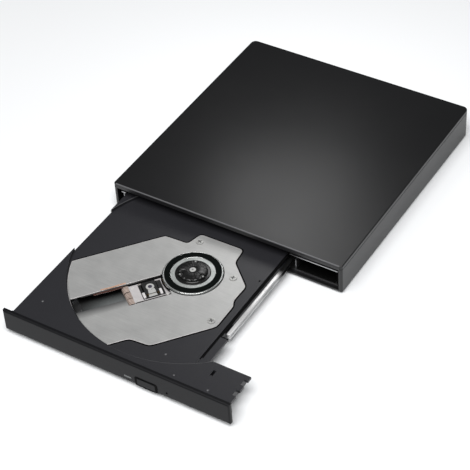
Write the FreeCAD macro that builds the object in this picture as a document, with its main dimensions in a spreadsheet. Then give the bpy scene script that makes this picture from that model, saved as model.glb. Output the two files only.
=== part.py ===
import FreeCAD, Part
import os
import re
import Sketcher

# Slim external disc drive with its tray open. X runs to the right seen from the front, Y to the
# back and Z up. The origin is the middle of the case's footprint, on the surface it stands on.

Vector = FreeCAD.Vector
document = FreeCAD.newDocument("disc_drive")
sheet = document.addObject("Spreadsheet::Sheet", "Sizes")

# Driving dimensions, in millimetres and degrees.
SIZES = {
    # room left by every cut beyond the face it opens
    "cut_over": 1.0,
    # case, built round the drive
    "side_gap": 1.5, "stop_length": 2.2, "case_height": 18.2, "case_wall": 2.0, "case_floor": 1.4,
    "cover_thickness": 2.0, "case_corner": 3.0, "front_corner": 1.2, "case_edge": 0.8, "cover_edge": 0.5,
    "seam_height": 0.35, "seam_depth": 0.5, "lip_thickness": 0.9, "lip_drop": 2.0,
    "lip_clearance": 0.15, "foot_height": 0.6, "foot_radius": 4.5, "foot_inset": 13.0,
    "boss_radius": 2.6, "boss_inset": 5.6, "case_screw_radius": 1.1, "case_screw_head": 2.0,
    "cross_reach": 1.1, "cross_half_width": 0.2,
    # bridge board and its sockets, behind the drive
    "board_thickness": 1.2, "bridge_width": 88.0, "bridge_depth": 9.0, "bridge_gap": 0.4,
    "bridge_post": 3.0, "usb_offset": -24.0, "usb_width": 7.7, "usb_height": 3.9, "usb_depth": 9.0,
    "usb_chamfer": 0.975, "tongue_height": 0.8,
    "jack_offset": 4.0, "jack_width": 6.4, "jack_height": 5.0, "jack_depth": 9.4,
    "jack_bore": 1.9, "jack_pin": 0.5, "jack_end_wall": 1.9, "jack_pin_setback": 0.9,
    "socket_setback": 0.6, "socket_clearance": 0.3,
    "socket_shell": 0.4, "connector_width": 34.0, "connector_height": 4.0, "connector_reach": 1.8,
    "bridge_chip_1_at": -36.0, "bridge_chip_1_long": 6.0, "bridge_chip_2_at": -12.0,
    "bridge_chip_2_long": 7.0, "bridge_chip_3_at": 14.0, "bridge_chip_3_long": 3.0,
    "bridge_chip_4_at": 19.0, "bridge_chip_4_long": 2.0, "bridge_chip_5_at": 39.0,
    "bridge_chip_5_long": 4.0, "bridge_chip_front": 3.15, "bridge_chip_wide": 3.6,
    # drive chassis
    "drive_centre": 0.5, "drive_height": 11.2, "drive_length": 125.5,
    "sheet_thickness": 0.6, "tub_setback": 2.5, "lid_setback": 1.0, "lid_bay_setback": 4.2,
    "lid_bay_side": 2.4, "flange_drop": 2.6,
    "flange_sheet": 0.5, "wing_width": 24.3, "wing_lift": 3.9, "pocket_depth": 21.5,
    "step_wall_top": 7.2, "chassis_screw_radius": 0.9, "chassis_screw_head": 0.3,
    "chassis_head_radius": 1.5, "main_board_gap": 0.6, "main_board_margin": 2.0, "chip_height": 1.2,
    "main_chip_1_x": 4.0, "main_chip_1_y": 18.0, "main_chip_1_wide": 10.0, "main_chip_1_long": 10.0,
    "main_chip_2_x": 5.0, "main_chip_2_y": 38.0, "main_chip_2_wide": 8.0, "main_chip_2_long": 12.0,
    "main_chip_3_x": 5.0, "main_chip_3_y": 58.0, "main_chip_3_wide": 6.0, "main_chip_3_long": 4.0,
    "main_chip_4_x": 13.5, "main_chip_4_y": 60.0, "main_chip_4_wide": 3.0, "main_chip_4_long": 5.0,
    "ribbon_width": 22.0, "ribbon_thickness": 0.15, "ribbon_offset": -8.0,
    # rails and their guides
    "rail_width": 2.0, "rail_height": 3.2, "rail_length": 97.0,
    "rail_web": 0.6, "rail_flange": 0.8, "rail_gap": 1.8, "left_rail_gap": 0.3,
    "rail_setback": 42.3, "rail_clearance": 0.3, "guide_gap": 1.8, "lug_thickness": 1.2,
    "lug_gap": 1.4, "lug_width": 3.9, "lug_length": 17.0, "hook_length": 6.0, "hook_tip_gap": 0.2,
    # tray
    "tray_travel": 100.0, "bezel_proud": 1.3, "bezel_overhang": 0.4, "bezel_height": 12.7,
    "bezel_gap": 0.4, "bezel_thickness": 2.0, "bezel_corner": 1.0, "tray_side_gap": 1.8,
    "tray_length": 122.0, "tray_rise": 9.0, "well_depth": 1.8, "front_land": 5.9,
    "well_radius": 62.4, "well_flare": 0.2, "well_side": 1.6, "back_well_shift": 2.6,
    "back_well_reach": 1.9, "tray_floor": 1.2, "tray_wall": 1.2,
    "skirt_drop": 4.6, "wing_depth": 21.4, "wing_start": 41.6, "wing_edge_gap": 2.1,
    "wing_plate": 1.4, "wing_skirt_drop": 2.4, "wing_notch": 1.9, "wing_notch_length": 3.6,
    "first_notch_setback": 2.88, "wing_slot_side": 17.6, "wing_slot_back": 8.0,
    "wing_slot_length": 1.5, "wing_slot_width": 3.4, "edge_hole_side": 2.0, "edge_hole_back": 11.4,
    "edge_hole_radius": 0.6, "wing_hole_side": 13.1, "wing_hole_back": 4.6, "wing_hole_radius": 0.5,
    "dimple_offset": 29.6, "dimple_back": 5.4, "dimple_depth": 0.3, "dimple_radius": 0.6,
    "shield_sheet": 0.4, "shield_gap": 0.4,
    # controls on the bezel
    "button_width": 11.6, "button_height": 4.8, "button_offset": 18.4, "button_drop": 7.7,
    "button_clearance": 0.25, "button_proud": 0.2, "button_round": 0.3, "button_cap": 1.2,
    "button_travel": 0.6, "stem_width": 3.0, "stem_height": 1.0, "led_width": 4.0,
    "led_height": 0.9, "led_offset": 8.0, "led_rise": 2.88, "led_clearance": 0.05,
    "pipe_reach": 0.9, "lamp_width": 1.8, "lamp_depth": 1.4, "lamp_setback": 1.2,
    "pinhole_offset": 29.9, "pinhole_radius": 0.6, "control_board_depth": 9.0,
    "control_board_left": 4.5, "control_board_right": 27.0, "control_board_lift": 4.0,
    "switch_width": 5.0, "switch_height": 1.3, "switch_depth": 3.4,
    # traverse, turned to the sled's direction about the spindle
    "sled_angle": 230.5, "lens_start": 22.4,
    "plate_sheet": 0.6, "plate_gap": 0.5, "plate_rise": 0.2, "plate_round": 2.4,
    "slot_low": -5.6, "slot_high": 9.8, "slot_start": 14.2, "slot_flange": 0.5,
    "slot_flange_start": 22.2, "slot_flange_end": 56.4, "bend_start": 36.0, "bend_low": 4.4,
    "bend_drop": 0.7, "bend_sheet": 0.4,
    "frame_sheet": 0.8, "frame_inset": 2.2, "frame_lift": 1.9, "pillar_radius": 2.2,
    "plate_screw_radius": 0.8, "plate_screw_head": 1.7, "plate_screw_rise": 0.35,
    "damper_radius": 2.8, "damper_bore": 1.1, "damper_head": 1.9, "ear_radius": 3.9,
    "ear_neck_half": 2.0, "ear_neck_long": 9.0,
    "frame_window_start": 13.0, "frame_window_far": 4.0, "frame_window_low": -14.0,
    "frame_window_high": 19.8,
    "shaft_radius": 1.2, "idle_shaft_radius": 0.9, "main_shaft_side": 17.0, "idle_shaft_side": -12.2,
    "shaft_lift": 6.1, "shaft_start": 9.0, "shaft_end": 63.0, "idle_shaft_setback": 3.0,
    "shaft_clearance": 0.05, "screw_shaft_side": -18.6, "screw_shaft_radius": 1.1,
    "screw_shaft_start": 12.0, "screw_tip_radius": 0.77, "screw_tip_length": 2.0,
    "holder_rise": 0.4, "inner_holder": 3.0, "outer_holder": 2.4, "idle_holder": 2.0,
    "screw_holder": 2.2, "screw_holder_half": 2.0, "main_holder_inside": 2.6,
    "main_holder_outside": 3.2, "main_end_inside": 1.8, "main_end_outside": 5.0,
    "idle_holder_outside": 4.0, "idle_holder_inside": 1.6, "idle_end_outside": 2.9,
    "tongue_length": 16.0, "tongue_overlap": 0.2,
    "stepper_width": 6.4, "stepper_height": 4.2, "stepper_length": 8.0, "stepper_start": 54.6,
    # corners of the cover plate's window: along the sled's direction and across it
    "window_along_1": 70.0, "window_across_1": -32.2, "window_along_2": 4.2,
    "window_across_2": -32.2, "window_along_3": -4.5, "window_across_3": -22.5,
    "window_along_4": -12.8, "window_across_4": -26.6, "window_along_5": -29.4,
    "window_across_5": -7.0, "window_along_6": -22.3, "window_across_6": 0.2,
    "window_along_7": -21.5, "window_across_7": 18.8, "window_along_8": -12.6,
    "window_across_8": 25.8, "window_along_9": -11.4, "window_across_9": 29.3,
    "window_along_10": 0.8, "window_across_10": 39.5, "window_along_11": 34.8,
    "window_across_11": 39.5, "window_along_12": 42.5, "window_across_12": 31.5,
    "window_along_13": 70.0, "window_across_13": 31.5,
    # screws, rests and rubber mounts of the plate and its frame, in the same directions
    "screw_along_1": -10.4, "screw_across_1": -20.9, "screw_along_2": -17.4,
    "screw_across_2": 10.4, "screw_along_3": 2.1, "screw_across_3": 34.6,
    "rest_along_1": 45.0, "rest_across_1": -27.0, "rest_along_2": 45.0, "rest_across_2": 26.0,
    "damper_along_1": -25.5, "damper_across_1": -20.5, "damper_along_2": 10.0,
    "damper_across_2": 44.0, "damper_along_3": 28.0, "damper_across_3": -37.2,
    # spindle and turntable
    "motor_radius": 11.5, "motor_base": 0.8, "stator_radius": 9.2, "spindle_radius": 1.0,
    "turntable_radius": 15.1, "turntable_bore": 3.017,
    "turntable_gap": 0.5, "turntable_sheet": 0.8, "rotor_radius": 12.2, "rotor_gap": 0.6,
    "ring_outer": 14.4, "ring_inner": 11.4, "ring_height": 0.5, "disc_rise": 8.6,
    "hub_radius": 7.3, "hub_flange": 9.05, "hub_height": 1.7, "hub_cap": 4.4, "claw_width": 2.2,
    "claw_reach": 1.9, "claw_proud": 0.1, "claw_height": 0.8, "claw_travel": 0.3,
    "claw_clearance": 0.2, "dot_radius": 1.8, "dot_groove": 0.4, "dot_height": 0.3,
    # pickup
    "pickup_length": 20.0, "pickup_body_start": 13.6, "pickup_height": 3.6,
    "pickup_low_side": 5.0, "pickup_high_side": 3.0, "pickup_clearance": 0.35, "cover_sheet": 0.4,
    "bearing_start": 0.6, "bearing_length": 11.4, "bearing_radius": 2.0, "bearing_rise": 1.1,
    "fork_half": 3.0, "fork_reach": 1.4, "fork_slot_reach": 1.2,
    "laser_length": 1.0, "laser_low": -4.4, "laser_high": 8.0, "laser_proud": 1.6, "laser_lift": 0.3,
    "lid_start": 0.4, "lid_end_gap": 0.2, "lid_low": -5.4, "lid_high": 8.0,
    "lid_window_start": 16.2, "lid_window_end": 27.8, "lid_window_low": -4.2, "lid_window_high": 6.9,
    "follower_start": 0.6, "follower_length": 4.4, "follower_overlap": 0.4, "tooth_inset": 0.6,
    "tooth_gap": 0.3, "tooth_thickness": 1.0, "tooth_drop": 0.6,
    "holder_length": 7.0, "holder_width": 8.4, "holder_height": 1.5, "holder_gap": 0.5,
    "holder_drop": 0.5, "lens_radius": 2.0, "lens_height": 0.7, "lens_crown": 0.23,
    "crown_radius": 1.8, "crown_top": 1.0, "focus_travel": 0.3, "magnet_half": 2.0,
    "magnet_width": 1.4, "magnet_gap": 0.1,
    # latch and ejector
    "latch_pivot_offset": 23.5, "latch_pivot_depth": 15.0, "latch_arm": 6.8, "latch_thickness": 1.2,
    "latch_pin": 0.8, "latch_eye": 1.9, "latch_post_radius": 0.8, "latch_post_height": 3.2,
    "latch_post_offset": 31.1, "coil_length": 9.0, "coil_radius": 1.5, "coil_setback": 3.6,
    "yoke_front": 1.2, "yoke_back": 1.95,
    "ejector_radius": 1.2, "ejector_travel": 5.0, "ejector_reach": 0.9, "ejector_offset": 54.5,
    "ejector_wall": 1.4, "ejector_lift": 3.0, "ejector_length": 12.0, "spring_length": 1.4,
    "spring_wire": 0.4,
}
# The drive follows from the disc's well, and the case from the drive and what stands round it.
FOLLOWING = {
    "drive_width": "=2 * (well_radius + well_side)",
    "spindle_back": "=well_radius + well_flare + front_land",
    "case_width": "=drive_width + 2 * (side_gap + case_wall)",
    "case_depth": "=tub_setback + drive_length + stop_length + 2 * bridge_gap + bridge_depth + case_wall",
}
for row, (alias, size) in enumerate({**SIZES, **FOLLOWING}.items(), start=1):
    sheet.set(f"A{row}", alias)
    sheet.set(f"B{row}", str(size))
    sheet.setAlias(f"B{row}", alias)
document.recompute()


def number(expression):
    """The value of an expression of named sizes."""
    return float(sheet.evalExpression(str(expression)))


def bind(thing, place, expression):
    """Tie one property of an object to an expression of named sizes."""
    linked = re.sub(r"\b([a-z]+_\w+)\b", r"Sizes.\1", str(expression))
    thing.setExpression(place, linked)


# Heights above the table.
base_top = "(foot_height + case_floor)"
cover_bottom = "(case_height - cover_thickness)"
drive_top = f"({base_top} + drive_height)"
tub_floor_top = f"({base_top} + sheet_thickness)"
wing_floor_top = f"({base_top} + wing_lift + sheet_thickness)"
tray_top = f"({base_top} + tray_rise)"
well_floor = f"({tray_top} - well_depth)"
tray_under = f"({well_floor} - tray_floor)"
wing_under = f"({tray_top} - wing_plate)"
rail_top = f"({well_floor} - lug_thickness - rail_clearance)"
rail_bottom = f"({rail_top} - rail_height)"
groove_bottom = f"({rail_bottom} + rail_flange)"
groove_top = f"({rail_top} - rail_flange)"
shield_bottom = f"({tub_floor_top} + shield_gap)"
shield_top = f"({shield_bottom} + shield_sheet)"
skirt_bottom = f"({tray_under} - skirt_drop)"
plate_top = f"({well_floor} + plate_rise)"
plate_under = f"({plate_top} - plate_sheet)"
frame_bottom = f"({base_top} + frame_lift)"
frame_top = f"({frame_bottom} + frame_sheet)"
disc_plane = f"({base_top} + disc_rise)"
shaft_height = "shaft_lift"

# Places across and along.
case_left = "(-case_width / 2)"
case_right = "(case_width / 2)"
case_front = "(-case_depth / 2)"
case_back = "(case_depth / 2)"
inner_left = f"({case_left} + case_wall)"
inner_right = f"({case_right} - case_wall)"
inner_back = f"({case_back} - case_wall)"
drive_left = "(drive_centre - drive_width / 2)"
drive_right = "(drive_centre + drive_width / 2)"
tub_front = f"({case_front} + tub_setback)"
drive_back = f"({tub_front} + drive_length)"
lid_front = f"({case_front} + lid_setback)"
step_wall_right = f"({drive_right} - wing_width)"
step_wall_left = f"({step_wall_right} - sheet_thickness)"
pocket_back = f"({tub_front} + pocket_depth)"
bezel_front = f"({case_front} - bezel_proud - tray_travel)"
bezel_back = f"({bezel_front} + bezel_thickness)"
bezel_bottom = f"({base_top} + bezel_gap)"
bezel_top = f"({bezel_bottom} + bezel_height)"
tray_left = f"({drive_left} + tray_side_gap)"
tray_right = f"({step_wall_left} - guide_gap - rail_width - rail_gap)"
tray_back = f"({bezel_back} + tray_length)"
wing_right = f"({drive_right} - wing_edge_gap)"
wing_back = f"({bezel_back} + wing_depth)"
spindle_y = f"({bezel_back} + spindle_back)"
rail_front = f"({bezel_back} + rail_setback)"
right_rail_inner = f"({tray_right} + rail_gap)"
left_rail_outer = f"({tray_left} + left_rail_gap)"
left_rail_inner = f"({left_rail_outer} + rail_width)"

finished = []


def block(name, x, y, z):
    """A box between low and high places on each axis."""
    thing = document.addObject("Part::Box", name)
    for side, (low, high) in zip(("Length", "Width", "Height"), (x, y, z)):
        bind(thing, side, f"({high}) - ({low})")
    for axis, (low, high) in zip("xyz", (x, y, z)):
        bind(thing, f"Placement.Base.{axis}", low)
    return thing


TURNS = {"x": (Vector(0, 1, 0), 90), "y": (Vector(1, 0, 0), -90), "z": (Vector(0, 0, 1), 0)}


def rod(name, start, length, radius, axis="z", top_radius=None):
    """A cylinder, or a cone where a top radius is given, from a start point along an axis."""
    thing = document.addObject("Part::Cone" if top_radius else "Part::Cylinder", name)
    if top_radius:
        bind(thing, "Radius1", radius)
        bind(thing, "Radius2", top_radius)
    else:
        bind(thing, "Radius", radius)
    bind(thing, "Height", length)
    turn, angle = TURNS[axis]
    thing.Placement = FreeCAD.Placement(Vector(), FreeCAD.Rotation(turn, angle))
    for letter, place in zip("xyz", start):
        bind(thing, f"Placement.Base.{letter}", place)
    return thing


def join(name, *pieces):
    """The union of pieces, which may also lie apart as a group."""
    thing = document.addObject("Part::MultiFuse", name)
    thing.Shapes = list(pieces)
    thing.Refine = True
    return thing


def carve(name, base, *tools):
    """A base less all the tools."""
    thing = document.addObject("Part::Cut", name)
    thing.Base = base
    thing.Tool = tools[0] if len(tools) == 1 else join(name + "_tools", *tools)
    thing.Refine = True
    return thing


def soften(name, base, radius, chosen):
    """Round the edges of a base that a test on the edge picks."""
    document.recompute()
    size = number(radius)
    picked = [i for i, edge in enumerate(base.Shape.Edges, start=1) if chosen(edge)]
    thing = document.addObject("Part::Fillet", name)
    thing.Base = base
    thing.Edges = [(i, size, size) for i in picked]
    return thing


def about_spindle(name, thing):
    """A piece built about the spindle, brought to its place in the tray."""
    group = document.addObject("Part::Compound", name)
    group.Links = [thing]
    group.Placement.Rotation = FreeCAD.Rotation(Vector(0, 0, 1), number("sled_angle"))
    bind(group, "Placement.Base.x", "drive_centre")
    bind(group, "Placement.Base.y", spindle_y)
    bind(group, "Placement.Rotation.Angle", "sled_angle")
    return group


def finish(label, thing, on_sled=False):
    """Name a sub-part; one built about the spindle is turned to the sled's direction."""
    if on_sled:
        thing = about_spindle(label + "_placed", thing)
    thing.Label = label
    finished.append(thing)


def plane_of(body, role):
    return [feature for feature in body.Origin.OriginFeatures if feature.Role == role][0]


def sketch_outline(body, name, role, points, offset="0"):
    """A closed outline of straight runs; each corner's two coordinates are bound."""
    sketch = body.newObject("Sketcher::SketchObject", name)
    sketch.AttachmentSupport = [(plane_of(body, role), "")]
    sketch.MapMode = "FlatFace"
    bind(sketch, "AttachmentOffset.Base.z", offset)
    spots = [Vector(number(across), number(up), 0) for across, up in points]
    for start, end in zip(spots, spots[1:] + spots[:1]):
        sketch.addGeometry(Part.LineSegment(start, end))
    count = len(spots)
    for i in range(count):
        sketch.addConstraint(Sketcher.Constraint("Coincident", i, 2, (i + 1) % count, 1))
    for i, (spot, (across, up)) in enumerate(zip(spots, points)):
        for kind, value, source in (("DistanceX", spot.x, across), ("DistanceY", spot.y, up)):
            index = sketch.addConstraint(Sketcher.Constraint(kind, -1, 1, i, 1, value))
            bind(sketch, f"Constraints[{index}]", source)
    return sketch


def slab(name, points, bottom, top):
    """A plate with a flat outline, between two heights."""
    body = document.addObject("PartDesign::Body", name)
    sketch = sketch_outline(body, name + "_outline", "XY_Plane", points, bottom)
    pad = body.newObject("PartDesign::Pad", name + "_pad")
    pad.Profile = sketch
    bind(pad, "Length", f"({top}) - ({bottom})")
    body.Tip = pad
    return body


def lengthwise(name, points, start, end):
    """A strip with a flat profile of places across and heights, run between two places along."""
    body = document.addObject("PartDesign::Body", name)
    sketch = sketch_outline(body, name + "_profile", "YZ_Plane", points, start)
    pad = body.newObject("PartDesign::Pad", name + "_pad")
    pad.Profile = sketch
    bind(pad, "Length", f"({end}) - ({start})")
    body.Tip = pad
    return body


def turned(name, points, x="0", y="0"):
    """A profile of radius and height, turned about an upright axis."""
    body = document.addObject("PartDesign::Body", name)
    sketch = sketch_outline(body, name + "_profile", "XZ_Plane", points)
    revolution = body.newObject("PartDesign::Revolution", name + "_turn")
    revolution.Profile = sketch
    revolution.ReferenceAxis = (sketch, ["V_Axis"])
    revolution.Angle = 360
    body.Tip = revolution
    bind(body, "Placement.Base.x", x)
    bind(body, "Placement.Base.y", y)
    return body


def upright(edge):
    """True for an edge that runs along Z."""
    direction = edge.Vertexes[-1].Point - edge.Vertexes[0].Point
    return direction.Length > 0 and abs(direction.z) > 0.999 * direction.Length


# Case

def case_block(name, margin, low, high):
    """A block over the case's footprint, drawn in by a margin, with its upright corners rounded."""
    raw = block(name + "_raw", (f"{case_left} + {margin}", f"{case_right} - {margin}"),
                (f"{case_front} + {margin}", f"{case_back} - {margin}"), (low, high))
    rear = soften(name + "_rear", raw, "case_corner",
                  lambda edge: upright(edge) and edge.CenterOfMass.y > 0)
    return soften(name, rear, "front_corner",
                  lambda edge: upright(edge) and edge.CenterOfMass.y < 0)


boss_spots = [(f"({side} * ({inner_right} - boss_inset))", f"({inner_back} - boss_inset)")
              for side in (-1, 1)]
boss_top = f"({base_top} + drive_height / 2)"
bridge_back = f"({inner_back} - bridge_gap)"
bridge_front = f"({bridge_back} - bridge_depth)"
bridge_top = f"({base_top} + bridge_post + board_thickness)"
usb_x = ("usb_offset - usb_width / 2", "usb_offset + usb_width / 2")
jack_x = ("jack_offset - jack_width / 2", "jack_offset + jack_width / 2")
socket_face = f"({case_back} - socket_setback)"


def socket_window(name, across, height):
    """The opening in the rear wall around a socket."""
    low, high = across
    return block(name, (f"{low} - socket_clearance", f"{high} + socket_clearance"),
                 (f"{inner_back} - socket_clearance", f"{case_back} + socket_clearance"),
                 (f"{bridge_top} - socket_clearance", f"{bridge_top} + {height} + socket_clearance"))


def base_shell():
    shell = case_block("base_block", "0", "foot_height", cover_bottom)
    softened = soften("base_softened", shell, "case_edge",
                      lambda edge: edge.BoundBox.ZMax < number("foot_height + case_edge / 2"))
    hollow = block("base_hollow", (inner_left, inner_right),
                   (f"{case_front} - case_wall", inner_back), (base_top, f"{cover_bottom} + cut_over"))
    rebate_out = case_block("rebate_out", "(-seam_depth)",
                            f"{cover_bottom} - seam_height", f"{cover_bottom} + seam_height")
    rebate_in = case_block("rebate_in", "seam_depth",
                           f"{cover_bottom} - seam_height - cut_over",
                           f"{cover_bottom} + seam_height + cut_over")
    rebate = carve("seam_rebate", rebate_out, rebate_in)
    open_shell = carve("base_open", softened, hollow, rebate,
                       socket_window("usb_window", usb_x, "usb_height"),
                       socket_window("jack_window", jack_x, "jack_height"))
    bosses = [rod(f"base_boss_{i}", (x, y, base_top), f"{boss_top} - {base_top}", "boss_radius")
              for i, (x, y) in enumerate(boss_spots)]
    posts = [block(f"bridge_post_{i}", (f"{x} - bridge_post / 2", f"{x} + bridge_post / 2"),
                   (bridge_front, inner_back), (base_top, f"{base_top} + bridge_post"))
             for i, x in enumerate(("(-bridge_width / 3)", "(bridge_width / 3)"))]
    stops = [block(f"drive_stop_{i}", (f"{x} - case_wall", f"{x} + case_wall"),
                   (drive_back, f"{bridge_front} - bridge_gap"), (base_top, f"{base_top} + bridge_post"))
             for i, x in enumerate(("(-drive_width / 3)", "(drive_width / 3)"))]
    side_ribs = []
    for i, y in enumerate(("(-case_depth / 4)", "(case_depth / 4)")):
        span = (f"{y} - case_wall", f"{y} + case_wall")
        rise = (base_top, f"{base_top} + drive_height / 2")
        side_ribs.append(block(f"left_rib_{i}", (inner_left, drive_left), span, rise))
        side_ribs.append(block(f"right_rib_{i}", (drive_right, inner_right), span, rise))
    whole = join("base_whole", open_shell, *bosses, *posts, *stops, *side_ribs)
    drills = []
    for i, (x, y) in enumerate(boss_spots):
        drills.append(rod(f"base_drill_{i}", (x, y, "0"), f"{boss_top} + cut_over",
                          "case_screw_radius + shaft_clearance"))
        drills.append(rod(f"base_sink_{i}", (x, y, "0"), "foot_height + case_floor / 2",
                          "case_screw_head + shaft_clearance"))
    finish("base_shell", carve("base_shell_cut", whole, *drills))


def top_cover():
    plate = case_block("cover_block", "0", cover_bottom, "case_height")
    softened = soften("cover_softened", plate, "cover_edge",
                      lambda edge: edge.BoundBox.ZMin > number("case_height - cover_edge / 2"))
    reach = f"({inner_right} - lip_clearance)"
    lip_out = block("lip_out", (f"-{reach}", reach),
                    (tub_front, f"{inner_back} - lip_clearance"),
                    (f"{cover_bottom} - lip_drop", cover_bottom))
    lip_in = block("lip_in", (f"-{reach} + lip_thickness", f"{reach} - lip_thickness"),
                   (f"{tub_front} - cut_over", f"{inner_back} - lip_clearance - lip_thickness"),
                   (f"{cover_bottom} - lip_drop - cut_over", f"{cover_bottom} + cut_over"))
    lip = carve("cover_lip", lip_out, lip_in)
    ribs = [block(f"cover_rib_{i}", ("-drive_width / 3", "drive_width / 3"),
                  (f"{y} - lip_thickness / 2", f"{y} + lip_thickness / 2"), (drive_top, cover_bottom))
            for i, y in enumerate(("(-case_depth / 4)", "0", "(case_depth / 4)"))]
    posts = [rod(f"cover_post_{i}", (x, y, boss_top), f"{cover_bottom} - {boss_top}", "boss_radius")
             for i, (x, y) in enumerate(boss_spots)]
    whole = join("cover_whole", softened, lip, *ribs, *posts)
    bores = [rod(f"cover_bore_{i}", (x, y, f"{boss_top} - cut_over"), "boss_inset + cut_over",
                 "case_screw_radius + shaft_clearance") for i, (x, y) in enumerate(boss_spots)]
    finish("top_cover", carve("top_cover_cut", whole, *bores))


CROSS = (("cross_reach", "cross_half_width"), ("cross_half_width", "cross_reach"))


def case_screws():
    screws = []
    for i, (x, y) in enumerate(boss_spots):
        sunk = "foot_height + case_floor / 2"
        head = rod(f"case_head_{i}", (x, y, f"{sunk} - case_floor / 3"), "case_floor / 3",
                   "case_screw_head")
        shank = rod(f"case_shank_{i}", (x, y, sunk), f"{boss_top} + boss_radius - ({sunk})",
                    "case_screw_radius")
        slots = [block(f"case_slot_{i}_{turn}", (f"{x} - {along}", f"{x} + {along}"),
                       (f"{y} - {across}", f"{y} + {across}"), ("0", f"{sunk} - case_floor / 6"))
                 for turn, (along, across) in enumerate(CROSS)]
        screws.append(carve(f"case_screw_{i}", join(f"case_screw_blank_{i}", head, shank), *slots))
    finish("case_screws", join("case_screw_pair", *screws))


def rubber_feet():
    feet = []
    for i, (across, along) in enumerate(((-1, -1), (1, -1), (-1, 1), (1, 1))):
        x = f"({across} * ({case_right} - foot_inset))"
        y = f"({along} * ({case_back} - foot_inset))"
        foot = rod(f"foot_{i}", (x, y, "0"), "foot_height", "foot_radius")
        feet.append(foot)
    finish("rubber_feet", join("foot_set", *feet))


# Bridge board, between the drive and the rear wall

def bridge():
    edge = ("(-bridge_width / 2)", "(bridge_width / 2)")
    finish("bridge_board", block("bridge_plate", edge, (bridge_front, bridge_back),
                                 (f"{bridge_top} - board_thickness", bridge_top)))
    chips = []
    chip_y = (f"{bridge_front} + bridge_chip_front",
              f"{bridge_front} + bridge_chip_front + bridge_chip_wide")
    for i in range(1, 6):
        middle, long = f"bridge_chip_{i}_at", f"bridge_chip_{i}_long"
        chips.append(block(f"bridge_chip_{i}", (f"{middle} - {long} / 2", f"{middle} + {long} / 2"),
                           chip_y, (bridge_top, f"{bridge_top} + chip_height")))
    finish("bridge_chips", join("bridge_chip_set", *chips))


def usb_socket():
    low, high = usb_x
    back = (f"{socket_face} - usb_depth", socket_face)
    shell = block("usb_shell", usb_x, back, (bridge_top, f"{bridge_top} + usb_height"))
    mouth = block("usb_mouth", (f"{low} + socket_shell", f"{high} - socket_shell"),
                  (f"{socket_face} - usb_depth + socket_shell * 3", f"{socket_face} + cut_over"),
                  (f"{bridge_top} + socket_shell", f"{bridge_top} + usb_height - socket_shell"))
    chamfered = document.addObject("Part::Chamfer", "usb_chamfered")
    document.recompute()
    size = number("usb_chamfer")
    chamfered.Base = shell
    chamfered.Edges = [(i, size, size) for i, edge in enumerate(shell.Shape.Edges, start=1)
                       if edge.CenterOfMass.z < number(f"{bridge_top} + usb_chamfer")
                       and edge.BoundBox.YLength > number("usb_depth / 2")]
    tongue = block("usb_tongue", (f"{low} + usb_width / 4", f"{high} - usb_width / 4"),
                   (f"{socket_face} - usb_depth + socket_shell", f"{socket_face} - usb_depth / 4"),
                   (f"{bridge_top} + usb_height / 2", f"{bridge_top} + usb_height / 2 + tongue_height"))
    finish("usb_socket", join("usb_whole", carve("usb_open", chamfered, mouth), tongue))


def power_jack():
    body = block("jack_body", jack_x, (f"{socket_face} - jack_depth", socket_face),
                 (bridge_top, f"{bridge_top} + jack_height"))
    centre = f"({bridge_top} + jack_height / 2)"
    bore = rod("jack_hole", ("jack_offset", f"{socket_face} - jack_depth + jack_end_wall", centre),
               "jack_depth", "jack_bore", "y")
    pin = rod("jack_core", ("jack_offset", f"{socket_face} - jack_depth + jack_pin_setback", centre),
              "jack_depth - jack_end_wall", "jack_pin", "y")
    finish("power_jack", join("jack_whole", carve("jack_open", body, bore), pin))


def drive_connector():
    middle = "(drive_width / 4)"
    finish("drive_connector", block("connector_block",
                                    (f"{middle} - connector_width / 2",
                                     f"{middle} + connector_width / 2"),
                                    (drive_back, f"{bridge_front} + connector_reach"),
                                    (bridge_top, f"{bridge_top} + connector_height")))


base_shell()
top_cover()
case_screws()
rubber_feet()
bridge()
usb_socket()
power_jack()
drive_connector()

# Drive chassis: a pressed tub with a raised floor under the tray's wing, and a lid

tub_left_inner = f"({drive_left} + sheet_thickness)"
tub_right_inner = f"({drive_right} - sheet_thickness)"
wall_top = f"({drive_top} - sheet_thickness)"
flange_bottom = f"({drive_top} - flange_drop)"
main_board_x = (f"{step_wall_right} + main_board_margin / 2",
                f"{tub_right_inner} - main_board_margin / 2")
main_board_y = (f"{pocket_back} + main_board_margin",
                f"{drive_back} - sheet_thickness - main_board_margin")
main_board_z = (f"{wing_floor_top} + main_board_gap",
                f"{wing_floor_top} + main_board_gap + board_thickness")
ribbon_x = ("drive_centre + ribbon_offset - ribbon_width / 2",
            "drive_centre + ribbon_offset + ribbon_width / 2")
ribbon_turn = f"({drive_back} - sheet_thickness - ribbon_width)"
ribbon_top = f"({tub_floor_top} + ribbon_thickness)"
chassis_screw_spots = [(side, y) for side in (-1, 1) for y in ("(-case_depth / 3)", "(case_depth / 3)")]


def side_screw(name, side, y, radius, inner, outer):
    """A rod across one side wall of the chassis, between two distances from the drive's middle."""
    start = f"drive_centre + {inner}" if side > 0 else f"drive_centre - ({outer})"
    return rod(name, (start, y, f"{drive_top} - flange_drop / 2"), f"({outer}) - ({inner})", radius, "x")


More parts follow.
